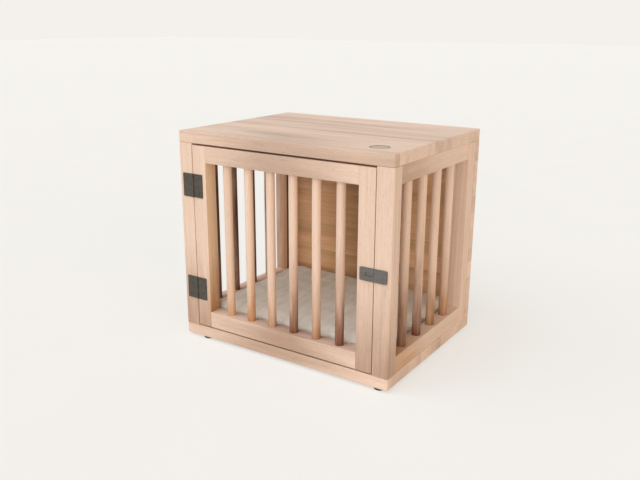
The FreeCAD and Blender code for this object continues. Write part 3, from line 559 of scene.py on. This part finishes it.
def metal(name, light, dark, smooth=0.42, rough=0.58):
    """Sheet or turned metal with faint brush lines."""
    material, tree, shader, place = new_material(name)
    look = place_group(tree, metal_group, {"Vector": place, "Light": light, "Dark": dark,
                                           "Smooth": smooth, "Rough": rough})
    tree.links.new(look["Color"], shader.inputs["Base Color"])
    tree.links.new(look["Roughness"], shader.inputs["Roughness"])
    add_bump(tree, shader, look["Height"], strength=0.12, distance=0.0001)
    shader.inputs["Metallic"].default_value = 1.0
    return material


# %% Metal pieces
aged_steel = metal("aged_steel", rgb(104, 99, 91), rgb(90, 86, 79))
satin_steel = metal("satin_steel", rgb(128, 124, 121), rgb(114, 110, 107))
zinc_steel = metal("zinc_steel", rgb(188, 188, 186), rgb(160, 160, 158), smooth=0.30, rough=0.45)
brass = metal("brass", rgb(206, 176, 112), rgb(182, 150, 90), smooth=0.30, rough=0.45)
METAL_PIECES = {
    aged_steel: ("upper_hinge_frame_leaf", "lower_hinge_frame_leaf", "upper_hinge_door_leaf",
                 "lower_hinge_door_leaf", "upper_hinge_pin", "lower_hinge_pin",
                 "frame_hinge_screws", "door_hinge_screws"),
    satin_steel: ("latch_housing", "latch_keeper", "latch_bolt", "latch_housing_screws",
                  "latch_keeper_screws"),
    zinc_steel: ("base_bolts", "top_screws", "door_stop_screws", "glide_nails"),
    brass: ("threaded_inserts",),
}
for material, names in METAL_PIECES.items():
    for name in names:
        dress(name, material)


# %% Plastic and rubber
SKIN_SCALE = 900.0
DUST_SCALE = 60.0
DUST_SHARE = 0.35
DUST = rgb(92, 88, 82)


def moulded(name, colour, smooth, rough):
    """Moulded plastic or rubber: one colour broken up by a fine, uneven skin."""
    material, tree, shader, place = new_material(name)
    skin = noise(tree, place, SKIN_SCALE, 3.0)
    dust = noise(tree, place, DUST_SCALE, 4.0, 0.6)
    tint = blend_colour(tree, remap(tree, dust, 0.4, 0.75, 0.0, DUST_SHARE), colour, DUST)
    tree.links.new(tint, shader.inputs["Base Color"])
    tree.links.new(remap(tree, skin, *NOISE_SPAN, smooth, rough), shader.inputs["Roughness"])
    add_bump(tree, shader, skin, strength=0.15, distance=0.0002)
    return material


black_plastic = moulded("black_plastic", rgb(34, 33, 32), smooth=0.40, rough=0.60)
rubber = moulded("rubber", rgb(40, 38, 37), smooth=0.70, rough=0.90)
for name in ("front_left_glide", "front_right_glide", "back_left_glide", "back_right_glide"):
    dress(name, black_plastic)
dress("door_stop_bumper", rubber)

# %% [markdown]
# ## Tools for modelling
#
# The next pieces are modelled with the same operators that a person uses in the viewport. An
# operator acts on what is selected, so these helpers clear the selection, pick faces or edges
# by their place, and move a finished piece's place into its mesh.

# %% Helpers for modelling with operators
SQUARE_ON = 0.99
TINY = 1e-6


def deselect():
    """Leave edit mode and select nothing."""
    if bpy.context.object and bpy.context.object.mode != "OBJECT":
        bpy.ops.object.mode_set(mode="OBJECT")
    bpy.ops.object.select_all(action="DESELECT")


def only(piece):
    """Select one object and make it active."""
    deselect()
    piece.select_set(True)
    bpy.context.view_layer.objects.active = piece


def settle(piece):
    """Move an object's place, turn and scale into its mesh."""
    only(piece)
    bpy.ops.object.transform_apply(location=True, rotation=True, scale=True)


def apply_modifier(piece, modifier):
    """Make a modifier's result the mesh itself."""
    only(piece)
    bpy.ops.object.modifier_apply(modifier=modifier.name)


def pick(piece, kind, test):
    """Go to edit mode with only the vertices, edges or faces that pass a test selected."""
    only(piece)
    bpy.ops.object.mode_set(mode="EDIT")
    bpy.ops.mesh.select_mode(type=kind)
    bpy.ops.mesh.select_all(action="DESELECT")
    bpy.ops.object.mode_set(mode="OBJECT")
    mesh = piece.data
    items = {"VERT": mesh.vertices, "EDGE": mesh.edges, "FACE": mesh.polygons}[kind]
    for item in items:
        item.select = test(mesh, item)
    bpy.ops.object.mode_set(mode="EDIT")


def done():
    """Leave edit mode with everything selected again."""
    bpy.ops.mesh.select_all(action="SELECT")
    bpy.ops.object.mode_set(mode="OBJECT")


def facing(axis, side):
    """A test for faces whose normal points one way along an axis."""
    return lambda mesh, face: face.normal[axis] * side > SQUARE_ON


# %% [markdown]
# ## Round inlay
#
# A plain disc of dark wood fills a shallow hole near the top's front corner. A turner would
# leave a raised rim and a few fine rings. The disc starts as a cylinder of its CAD size, and
# each ring is one inset of its upper face followed by a small move down or up.

# %% Turned inlay
INLAY_RINGS = ((0.0016, 0.0), (0.0005, -0.0005), (0.0042, 0.0), (0.0005, 0.0003),
               (0.0008, 0.0), (0.0005, -0.0003), (0.0060, 0.0))
INLAY_SIDES = 64
INLAY_EASE = 0.0002
RIM_INNER = 0.0195
RIM_OUTER = 0.0215


def make_inlay():
    """A disc with a rim and two turned rings, flush with the top."""
    low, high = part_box("corner_inlay")
    deselect()
    bpy.ops.mesh.primitive_cylinder_add(vertices=INLAY_SIDES, radius=(high.x - low.x) / 2,
                                        depth=high.z - low.z, location=(low + high) / 2)
    disc = bpy.context.object
    disc.name = "turned_inlay"
    settle(disc)
    pick(disc, "FACE", facing(2, 1))
    for inset, lift in INLAY_RINGS:
        bpy.ops.mesh.inset(thickness=inset)
        if lift:
            bpy.ops.transform.translate(value=(0.0, 0.0, lift))
    done()
    rim = disc.modifiers.new("eased rim", "BEVEL")
    rim.width = INLAY_EASE
    rim.limit_method = "ANGLE"
    apply_modifier(disc, rim)
    return disc


def inlay_material():
    """Brown, fine-grained wood, paler inside its dark rim."""
    low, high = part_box("corner_inlay")
    middle = (low + high) / 2
    material, tree, shader, place = new_material("inlay_wood")
    centred = vector_calc(tree, "SUBTRACT", place, tuple(middle)).outputs[0]
    flat = stretch(tree, centred, (1.0, 1.0, 0.0))
    radius = vector_calc(tree, "LENGTH", flat).outputs["Value"]
    edge = remap(tree, radius, RIM_INNER, RIM_OUTER)
    grain = noise(tree, stretch(tree, place, (0.05, 1.0, 1.0)), 900.0, 3.0, 0.6)
    field = blend_colour(tree, remap(tree, grain, *NOISE_SPAN), rgb(198, 176, 157),
                         rgb(172, 150, 131))
    colour = blend_colour(tree, edge, field, rgb(112, 95, 82))
    tree.links.new(colour, shader.inputs["Base Color"])
    tree.links.new(remap(tree, grain, *NOISE_SPAN, 0.42, 0.58), shader.inputs["Roughness"])
    add_bump(tree, shader, grain, strength=0.2, distance=0.0002)
    return material


inlay = make_inlay()
inlay.data.materials.append(inlay_material())
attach(inlay, "case")
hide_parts("corner_inlay")
print("inlay faces:", len(inlay.data.polygons))

# %% [markdown]
# ## Screws with a cross recess
#
# CAD has the countersunk screws of the hinges and the latch as plain solids. Their heads need
# the cross that a driver fits. One screw is modelled facing -Y: a cylinder for the head, its
# back face drawn in to the shank, and its front face inset, pinched between the arms of the
# cross and pushed in. Copies go where the CAD screws are, each turned as it happened to stop.

# %% One countersunk screw
HEAD_SIDES = 24
HEAD_TURN = math.radians(7.5)
HEAD_RIM = 0.0002
ARM_HALF_ANGLE = math.radians(9)
POINT_SHARE = 0.2
PINCH = 0.34
RECESS_DEPTH = 0.6
RECESS_TAPER = 0.55


def between_arms(vertex):
    """True for a point on the recess's rim that lies between two arms of the cross."""
    angle = math.atan2(vertex.co.z, vertex.co.x) % (math.pi / 2)
    return ARM_HALF_ANGLE < angle < math.pi / 2 - ARM_HALF_ANGLE


def make_screw(name, shank, head, head_depth, length, recess):
    """A countersunk screw along Y, its head's face at Y = 0."""
    deselect()
    bpy.ops.mesh.primitive_cylinder_add(
        vertices=HEAD_SIDES, radius=head, depth=head_depth,
        location=(0.0, head_depth / 2, 0.0),
        rotation=(math.pi / 2, HEAD_TURN, 0.0))
    screw = bpy.context.object
    screw.name = name
    settle(screw)
    pick(screw, "FACE", facing(1, 1))
    bpy.ops.transform.resize(value=(shank / head, 1.0, shank / head))
    bpy.ops.mesh.extrude_region_move(
        TRANSFORM_OT_translate={"value": (0.0, length - head_depth - shank * 2, 0.0)})
    bpy.ops.mesh.extrude_region_move(TRANSFORM_OT_translate={"value": (0.0, shank * 2, 0.0)})
    bpy.ops.transform.resize(value=(POINT_SHARE, 1.0, POINT_SHARE))
    done()
    pick(screw, "FACE", facing(1, -1))
    bpy.ops.mesh.inset(thickness=HEAD_RIM)
    bpy.ops.transform.translate(value=(0.0, -HEAD_RIM, 0.0))
    bpy.ops.mesh.inset(thickness=head - HEAD_RIM - recess)
    done()
    screw.data.transform(Matrix.Translation((0.0, HEAD_RIM, 0.0)))
    screw.data.update()
    inside_rim = head * head * 0.8
    pick(screw, "VERT", lambda mesh, vertex: abs(vertex.co.y) < TINY and between_arms(vertex)
         and vertex.co.x ** 2 + vertex.co.z ** 2 < inside_rim)
    bpy.ops.transform.resize(value=(PINCH, 1.0, PINCH), center_override=(0.0, 0.0, 0.0))
    done()
    pick(screw, "FACE", lambda mesh, face: face.normal.y < -SQUARE_ON
         and (Vector((face.center.x, face.center.z))).length < recess * 0.1)
    bpy.ops.mesh.extrude_region_move(
        TRANSFORM_OT_translate={"value": (0.0, head_depth * RECESS_DEPTH, 0.0)})
    bpy.ops.transform.resize(value=(RECESS_TAPER, 1.0, RECESS_TAPER))
    done()
    return screw


# %% Copies where the CAD screws are
SCREW_REACH = 0.005
FIRST_TURN = 23
TURN_STEP = 37


def screw_places(node):
    """The middle of each screw in a CAD group, at its head's outer face."""
    spots = []
    for vertex in nodes[node].data.vertices:
        place = vertex.co
        near = [spot for spot in spots
                if math.hypot(spot["x"] - place.x, spot["z"] - place.z) < SCREW_REACH * 2]
        if near:
            for key, value in (("low", min), ("high", max)):
                near[0][key] = [value(pair) for pair in zip(near[0][key], place)]
        else:
            spots.append({"x": place.x, "z": place.z, "low": list(place), "high": list(place)})
    return [Vector(((spot["low"][0] + spot["high"][0]) / 2, spot["low"][1],
                    (spot["low"][2] + spot["high"][2]) / 2)) for spot in spots]


def set_screws(master, node, body, material):
    """One piece that stands for a CAD group: a copy of the screw at each of its places."""
    copies = []
    for row, place in enumerate(screw_places(node)):
        copy = master.copy()
        copy.data = master.data.copy()
        bpy.context.collection.objects.link(copy)
        turn = Matrix.Rotation(math.radians(FIRST_TURN + TURN_STEP * row), 4, "Y")
        copy.data.transform(Matrix.Translation(place) @ turn)
        copies.append(copy)
    deselect()
    for copy in copies:
        copy.select_set(True)
    bpy.context.view_layer.objects.active = copies[0]
    bpy.ops.object.join()
    group = bpy.context.object
    group.name = f"{node}_cross"
    group.data.materials.clear()
    group.data.materials.append(material)
    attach(group, body)
    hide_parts(node)
    print(node, "screws:", len(copies))


hinge_master = make_screw("hinge_screw", 0.0016, 0.0032, 0.0017, 0.016, 0.0021)
set_screws(hinge_master, "frame_hinge_screws", "case", aged_steel)
set_screws(hinge_master, "door_hinge_screws", "door", aged_steel)
latch_master = make_screw("latch_screw", 0.0014, 0.0026, 0.0014, 0.016, 0.0017)
set_screws(latch_master, "latch_housing_screws", "door", satin_steel)
set_screws(latch_master, "latch_keeper_screws", "case", satin_steel)
for master in (hinge_master, latch_master):
    bpy.data.objects.remove(master)

# %% [markdown]
# ## Latch bolt
#
# The bolt is a flat bar inside the latch, and the only part of it that a hand meets is a low
# button. Its face is cut into ridges so that a thumb can push it. The bar is a box of its CAD
# size, cut across where the button stands. The face between the cuts is drawn out, and two
# grooves are pushed back into it.

# %% Bolt with a ridged button
BAR_DEPTH = 0.002
BUTTON_INSET = 0.005
BUTTON_WIDTH = 0.006
BUTTON_HEIGHT = 0.008
GROOVES = ((0.0014, 0.0024), (0.0036, 0.0046))
GROOVE_DEPTH = 0.0005
BOLT_EASE = 0.00015
SAME_DEPTH = 1e-5


def slice_across(piece, axis, at):
    """Cut every face of the piece along a plane square to one axis."""
    only(piece)
    bpy.ops.object.mode_set(mode="EDIT")
    bpy.ops.mesh.select_all(action="SELECT")
    point = [0.0, 0.0, 0.0]
    normal = [0.0, 0.0, 0.0]
    point[axis], normal[axis] = at, 1.0
    bpy.ops.mesh.bisect(plane_co=point, plane_no=normal)
    bpy.ops.object.mode_set(mode="OBJECT")


def in_front(left, right, low, high, front):
    """A test for faces that look to -Y from one depth, inside a rectangle."""
    return lambda mesh, face: (
        face.normal.y < -SQUARE_ON and abs(face.center.y - front) < SAME_DEPTH
        and left < face.center.x < right and low < face.center.z < high)


def make_bolt():
    """The flat bar and its button."""
    low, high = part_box("latch_bolt")
    face = high.y - BAR_DEPTH
    size = Vector((high.x - low.x, BAR_DEPTH, high.z - low.z))
    deselect()
    bpy.ops.mesh.primitive_cube_add(size=1.0, location=((low.x + high.x) / 2,
                                                        high.y - BAR_DEPTH / 2,
                                                        (low.z + high.z) / 2))
    bolt = bpy.context.object
    bolt.name = "thumb_bolt"
    bolt.scale = size
    settle(bolt)
    left = low.x + BUTTON_INSET
    right = left + BUTTON_WIDTH
    middle = (low.z + high.z) / 2
    for axis, at in ((0, left), (0, right), (2, middle - BUTTON_HEIGHT / 2),
                     (2, middle + BUTTON_HEIGHT / 2)):
        slice_across(bolt, axis, at)
    inside = (left, right, middle - BUTTON_HEIGHT / 2, middle + BUTTON_HEIGHT / 2)
    pick(bolt, "FACE", in_front(*inside, face))
    bpy.ops.mesh.extrude_region_move(
        TRANSFORM_OT_translate={"value": (0.0, low.y - face, 0.0)})
    done()
    for start, end in GROOVES:
        slice_across(bolt, 0, left + start)
        slice_across(bolt, 0, left + end)
    for start, end in GROOVES:
        pick(bolt, "FACE", in_front(left + start, left + end, inside[2], inside[3], low.y))
        bpy.ops.mesh.extrude_region_move(
            TRANSFORM_OT_translate={"value": (0.0, GROOVE_DEPTH, 0.0)})
        done()
    ease = bolt.modifiers.new("eased edges", "BEVEL")
    ease.width = BOLT_EASE
    ease.limit_method = "ANGLE"
    apply_modifier(bolt, ease)
    return bolt


bolt = make_bolt()
bolt.data.materials.append(satin_steel)
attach(bolt, "bolt")
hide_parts("latch_bolt")
print("bolt faces:", len(bolt.data.polygons))

# %% [markdown]
# ## Linen
#
# The cushion's cover is undyed linen: a plain weave of slightly uneven threads. Up close the
# threads cross, further off only a soft mottle is left, and at a grazing angle its loose hairs
# catch the light, which the shader's sheen stands for.

# %% Linen weave
THREADS = 260.0
THREAD_SHARE = 0.25
SLUB_SCALE = 420.0
SLUB_SHARE = 0.30
SLUB_HEIGHT = 0.8
CREASE_STRETCH = (1.0, 0.22, 0.5)
CREASE_SCALE = 55.0
CREASE_SHADE_SHARE = 0.45
BACK_SHADE_CENTRE = (0.0, 0.20, 0.09)
BACK_SHADE_REACH = (0.9, 0.36, ANY_WIDTH)


def make_weave_group():
    """Threads in X, Y and Z, slubs along them and painted shade of soft creases from front to back.
    """
    tree, given, made = new_group(
        "linen weave", {"Vector": "vector", "Light": "colour", "Dark": "colour",
                        "Threads": "value"},
        {"Color": "colour", "Roughness": "value", "Height": "value"})
    waves = [add_node(tree, "ShaderNodeTexWave",
                      {"Vector": given["Vector"], "Scale": given["Threads"],
                       "Distortion": 0.6, "Detail": 1.0, "Detail Scale": 1.0},
                      wave_type="BANDS", bands_direction=axis).outputs["Fac"] for axis in "XYZ"]
    threads = calc(tree, "DIVIDE", calc(tree, "ADD", calc(tree, "ADD", *waves[:2]), waves[2]),
                   3.0)
    slubs_x = noise(tree, stretch(tree, given["Vector"], (0.05, 1.0, 1.0)), SLUB_SCALE)
    slubs_y = noise(tree, stretch(tree, given["Vector"], (1.0, 0.05, 1.0)), SLUB_SCALE)
    slubs = calc(tree, "MULTIPLY", calc(tree, "ADD", slubs_x, slubs_y), 0.5)
    # Painted shade of soft creases, stretched from front to back.
    creases = noise(tree, stretch(tree, given["Vector"], CREASE_STRETCH), CREASE_SCALE)
    share = calc(tree, "ADD", calc(tree, "MULTIPLY", threads, THREAD_SHARE),
                 calc(tree, "MULTIPLY", remap(tree, slubs, 0.35, 0.65), SLUB_SHARE))
    crease_shade = calc(tree, "MULTIPLY", remap(tree, creases, *NOISE_SPAN), CREASE_SHADE_SHARE)
    share = calc(tree, "ADD", share, crease_shade, clamp=True)
    tree.links.new(blend_colour(tree, share, given["Light"], given["Dark"]), made["Color"])
    tree.links.new(remap(tree, slubs, *NOISE_SPAN, 0.85, 0.97), made["Roughness"])
    height = calc(tree, "ADD", threads, calc(tree, "MULTIPLY", slubs, SLUB_HEIGHT))
    tree.links.new(height, made["Height"])
    return tree


weave_group = make_weave_group()


def linen(name, light, dark, painted_back_shade):
    """Undyed linen: rough, matte, with painted shade that greys it towards its back, and a soft
    sheen at the edges.
    """
    material, tree, shader, place = new_material(name)
    cloth = place_group(tree, weave_group, {"Vector": place, "Light": light, "Dark": dark,
                                            "Threads": THREADS})
    back = place_group(tree, patch_group, {"Vector": place, "Grain": place,
                                           "Centre": BACK_SHADE_CENTRE, "Reach": BACK_SHADE_REACH})
    greyed = blend_colour(tree, back["Mask"], cloth["Color"], painted_back_shade, "MULTIPLY")
    tree.links.new(greyed, shader.inputs["Base Color"])
    tree.links.new(cloth["Roughness"], shader.inputs["Roughness"])
    add_bump(tree, shader, cloth["Height"], strength=0.35, distance=0.0006)
    shader.inputs["Sheen Weight"].default_value = 0.25
    shader.inputs["Sheen Roughness"].default_value = 0.5
    return material


# The last colour is painted shade that greys the cover towards the back of the crate.
linen_cover = linen("linen_cover", rgb(248, 241, 228), rgb(212, 204, 188),
                    (0.77, 0.76, 0.73, 1.0))

# %% [markdown]
# ## Cushion
#
# The pad on the floor of the crate is a foam slab in a loose linen cover. It fills the floor
# from post to post. A box with rounded edges would look like a brick, and a sculpted one takes
# long to make believable. Blender's cloth with a little air pressure does it for us: the slab
# starts slightly too small, swells until the cover is tight, and keeps the soft dents that
# real covers have.

# %% The slab before it swells
SLAB_SIDE_INSET = 0.004
SLAB_TOP_INSET = 0.004
SLAB_EDGE = 0.012
SLAB_CORNER = 0.026
UPRIGHT_RISE = 0.01


def make_slab():
    """A rounded slab, a little smaller than the space that the cushion fills."""
    low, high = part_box("cushion")
    size = high - low - Vector((2 * SLAB_SIDE_INSET, 2 * SLAB_SIDE_INSET, SLAB_TOP_INSET))
    centre = (low + high) / 2 - Vector((0.0, 0.0, SLAB_TOP_INSET / 2))
    deselect()
    bpy.ops.mesh.primitive_cube_add(size=1.0, location=centre)
    slab = bpy.context.object
    slab.name = "cushion_pad"
    slab.scale = size
    settle(slab)
    pick(slab, "EDGE", lambda mesh, edge: abs(
        mesh.vertices[edge.vertices[0]].co.z - mesh.vertices[edge.vertices[1]].co.z) > UPRIGHT_RISE)
    bpy.ops.mesh.bevel(offset=SLAB_CORNER, segments=5, affect="EDGES")
    done()
    rounding = slab.modifiers.new("soft edge", "BEVEL")
    rounding.width = SLAB_EDGE
    rounding.segments = 4
    rounding.limit_method = "ANGLE"
    apply_modifier(slab, rounding)
    return slab


cushion = make_slab()
cushion.data.materials.append(linen_cover)
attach(cushion, "case")
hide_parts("cushion")

# %% [markdown]
# ## Swell the cushion
#
# The slab is remeshed into even quads, filled with pressure and stepped through twenty frames.
# As its top and bottom swell, its sides pull in between the corners. No point may move
# further than the cap. The pad is then eased back out to the width of the floor, its underside
# is kept flat on the base board, and its middle is crowned a little. Last, the cover gets low
# ripples: long ones over the top, and close puckers where its top is gathered to its sides. The
# middle of the swollen pad then stands up to 6.4 mm above the top of the cushion in CAD.

# %% Cloth simulation
VOXEL = 0.006
SWELL_FRAMES = 20
SWELL_CAP = 0.009
PRESSURE = 4.0
CROWN = 0.002
RIPPLE_HEIGHT = 0.0020
PUCKER_HEIGHT = 0.0060
PUCKER_BAND = 0.045
PUCKER_BIAS = 0.3
LONG_WAVES = (22.0, 9.0, 0.7)
CLOSE_WAVES = (60.0, 40.0, 3.1)
RIPPLES_FROM = 0.3


def remesh(piece, voxel):
    """Even quads all over, as cloth needs."""
    grid = piece.modifiers.new("even quads", "REMESH")
    grid.mode = "VOXEL"
    grid.voxel_size = voxel
    apply_modifier(piece, grid)


def run_cloth(piece):
    """Fill the closed cover with pressure and let it settle."""
    cloth = piece.modifiers.new("cover", "CLOTH")
    settings = cloth.settings
    settings.use_pressure = True
    settings.uniform_pressure_force = PRESSURE
    settings.effector_weights.gravity = 0.0
    cloth.point_cache.frame_start = 1
    cloth.point_cache.frame_end = SWELL_FRAMES
    for step in range(1, SWELL_FRAMES + 1):
        bpy.context.scene.frame_set(step)
    apply_modifier(piece, cloth)
    bpy.context.scene.frame_set(1)


def cap_movement(piece, start):
    """Ease each point's movement towards the cap, and keep the underside on the board."""
    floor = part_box("cushion")[0].z
    for vertex, place in zip(piece.data.vertices, start):
        move = vertex.co - place
        if move.length > TINY:
            vertex.co = place + move * (SWELL_CAP * math.tanh(move.length / SWELL_CAP)
                                        / move.length)
        vertex.co.z = max(vertex.co.z, floor)


def ease_out(piece):
    """Widen the pad to the floor's width again, and crown its middle."""
    low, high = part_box("cushion")
    middle = (low + high) / 2
    half = (high - low) / 2
    reach = [max(abs(vertex.co[axis] - middle[axis]) for vertex in piece.data.vertices)
             for axis in (0, 1)]
    for vertex in piece.data.vertices:
        share = [0.0, 0.0]
        for axis in (0, 1):
            share[axis] = (vertex.co[axis] - middle[axis]) / reach[axis]
            vertex.co[axis] = middle[axis] + share[axis] * half[axis]
        if vertex.co.z > middle.z:
            vertex.co.z += CROWN * (1 - share[0] ** 2) * (1 - share[1] ** 2)


def wave(place, waves):
    """A smooth noise over the plan. `waves` holds its pace in X and in Y, and its slice."""
    return perlin.noise(Vector((place.x * waves[0], place.y * waves[1], waves[2])))


def ripple(piece):
    """Long low ripples over the top, and close puckers along its rim."""
    low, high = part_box("cushion")
    for vertex in piece.data.vertices:
        place = vertex.co
        lift = (place.z - low.z) / (high.z - low.z)
        if lift < RIPPLES_FROM:
            continue
        inward = min(place.x - low.x, high.x - place.x, place.y - low.y, high.y - place.y)
        share = max(0.0, 1.0 - inward / PUCKER_BAND)
        depth = RIPPLE_HEIGHT * (0.5 + 0.5 * wave(place, LONG_WAVES))
        depth += PUCKER_HEIGHT * share * max(0.0, wave(place, CLOSE_WAVES) + PUCKER_BIAS)
        vertex.co -= vertex.normal * depth


def swell(piece):
    """Turn the slab into a soft pad."""
    remesh(piece, VOXEL)
    start = [vertex.co.copy() for vertex in piece.data.vertices]
    run_cloth(piece)
    cap_movement(piece, start)
    ease_out(piece)
    ripple(piece)
    finer = piece.modifiers.new("finer cloth", "SUBSURF")
    finer.levels = finer.render_levels = 1
    apply_modifier(piece, finer)


swell(cushion)
only(cushion)
bpy.ops.object.shade_smooth()
print("cushion faces:", len(cushion.data.polygons))

# %% [markdown]
# ## Light and floor
#
# The photograph is bright and soft, as from large windows on the left: the front is a little
# lighter than the right side, and the shadow on the floor is faint. An even surrounding gives
# a good part of the light, and a wide, soft sun from the front left gives it a direction. A
# weak warm sun stands for what a room's walls send back to the right side, and a weak fill
# from the camera's side reaches between the bars, so that the inside doesn't go black. Suns
# light the floor evenly, where a lamp close by would leave a bright spot on it. The floor's
# own tone is raised for camera rays alone: it looks white and lights the object no more.

# %% World and suns
BACKDROP = rgb(244, 241, 236)
AMBIENT_TONE = (1.0, 0.94, 0.86, 1.0)
AMBIENT = 0.44
# Each sun: the direction it shines from, its strength, its tone and its width in degrees.
SUNS = {
    "window": ((-0.32, -0.50, 0.80), 1.66, (0.88, 1.0, 1.14), 60),
    "warm_room": ((4.30, -1.70, 0.87), 0.81, (1.0, 0.81, 0.60), 40),
    "front_fill": ((1.80, -5.20, 1.32), 0.60, (1.0, 0.95, 0.88), 40),
}


def light_world():
    """A soft surrounding, which camera and mirror rays see as the pale backdrop."""
    world = bpy.data.worlds.new("studio")
    bpy.context.scene.world = world
    world.use_nodes = True
    tree = world.node_tree
    tree.nodes.clear()
    rays = add_node(tree, "ShaderNodeLightPath").outputs
    seen = calc(tree, "MAXIMUM", rays["Is Camera Ray"],
                calc(tree, "MAXIMUM", rays["Is Glossy Ray"], rays["Is Transmission Ray"]))
    lit = add_node(tree, "ShaderNodeBackground", {"Color": AMBIENT_TONE, "Strength": AMBIENT})
    shown = add_node(tree, "ShaderNodeBackground", {"Color": BACKDROP, "Strength": 1.0})
    mix = add_node(tree, "ShaderNodeMixShader", {0: seen, 1: lit.outputs[0],
                                                 2: shown.outputs[0]})
    end = tree.nodes.new("ShaderNodeOutputWorld")
    tree.links.new(mix.outputs[0], end.inputs[0])


def add_sun(name, source, strength, tone, width):
    """A wide sun that shines from a direction. Its width in degrees softens its shadows."""
    data = bpy.data.lights.new(name, "SUN")
    data.energy = strength
    data.color = tone
    data.angle = math.radians(width)
    lamp = bpy.data.objects.new(name, data)
    lamp.rotation_euler = Vector(source).to_track_quat("Z", "Y").to_euler()
    bpy.context.collection.objects.link(lamp)


light_world()
for name, (source, strength, tone, width) in SUNS.items():
    add_sun(name, source, strength, tone, width)

# %% Floor
FLOOR_PAINT = rgb(238, 236, 231)
FLOOR_SHOWN = rgb(150, 149, 147)
FLOOR_LIFT = rgb(206, 203, 198)
FLOOR_WIDTH = 60.0


def add_floor():
    """A wide, plain, pale floor. The camera sees it lifted towards white."""
    deselect()
    bpy.ops.mesh.primitive_plane_add(size=FLOOR_WIDTH, location=(0.0, 0.0, 0.0))
    floor = bpy.context.object
    floor.name = "floor"
    material, tree, shader, place = new_material("floor_paint")
    shader.inputs["Roughness"].default_value = 0.9
    shader.inputs["Specular IOR Level"].default_value = 0.1
    rays = add_node(tree, "ShaderNodeLightPath").outputs
    seen = calc(tree, "MAXIMUM", rays["Is Camera Ray"], rays["Is Glossy Ray"])
    mottle = remap(tree, noise(tree, place, 3.0, 3.0), *NOISE_SPAN, 0.97, 1.0)
    tone = blend_colour(tree, seen, FLOOR_PAINT, FLOOR_SHOWN)
    toned = add_node(tree, "ShaderNodeVectorMath", {0: tone, 3: mottle}, operation="SCALE")
    tree.links.new(toned.outputs[0], shader.inputs["Base Color"])
    lift = blend_colour(tree, seen, (0.0, 0.0, 0.0, 1.0), FLOOR_LIFT)
    tree.links.new(lift, shader.inputs["Emission Color"])
    shader.inputs["Emission Strength"].default_value = 1.0
    floor.data.materials.append(material)


add_floor()

# %% [markdown]
# ## Colour management
#
# Colours are shown as they are written, with no film look.

# %% Finish
bpy.context.scene.view_settings.view_transform = "Standard"
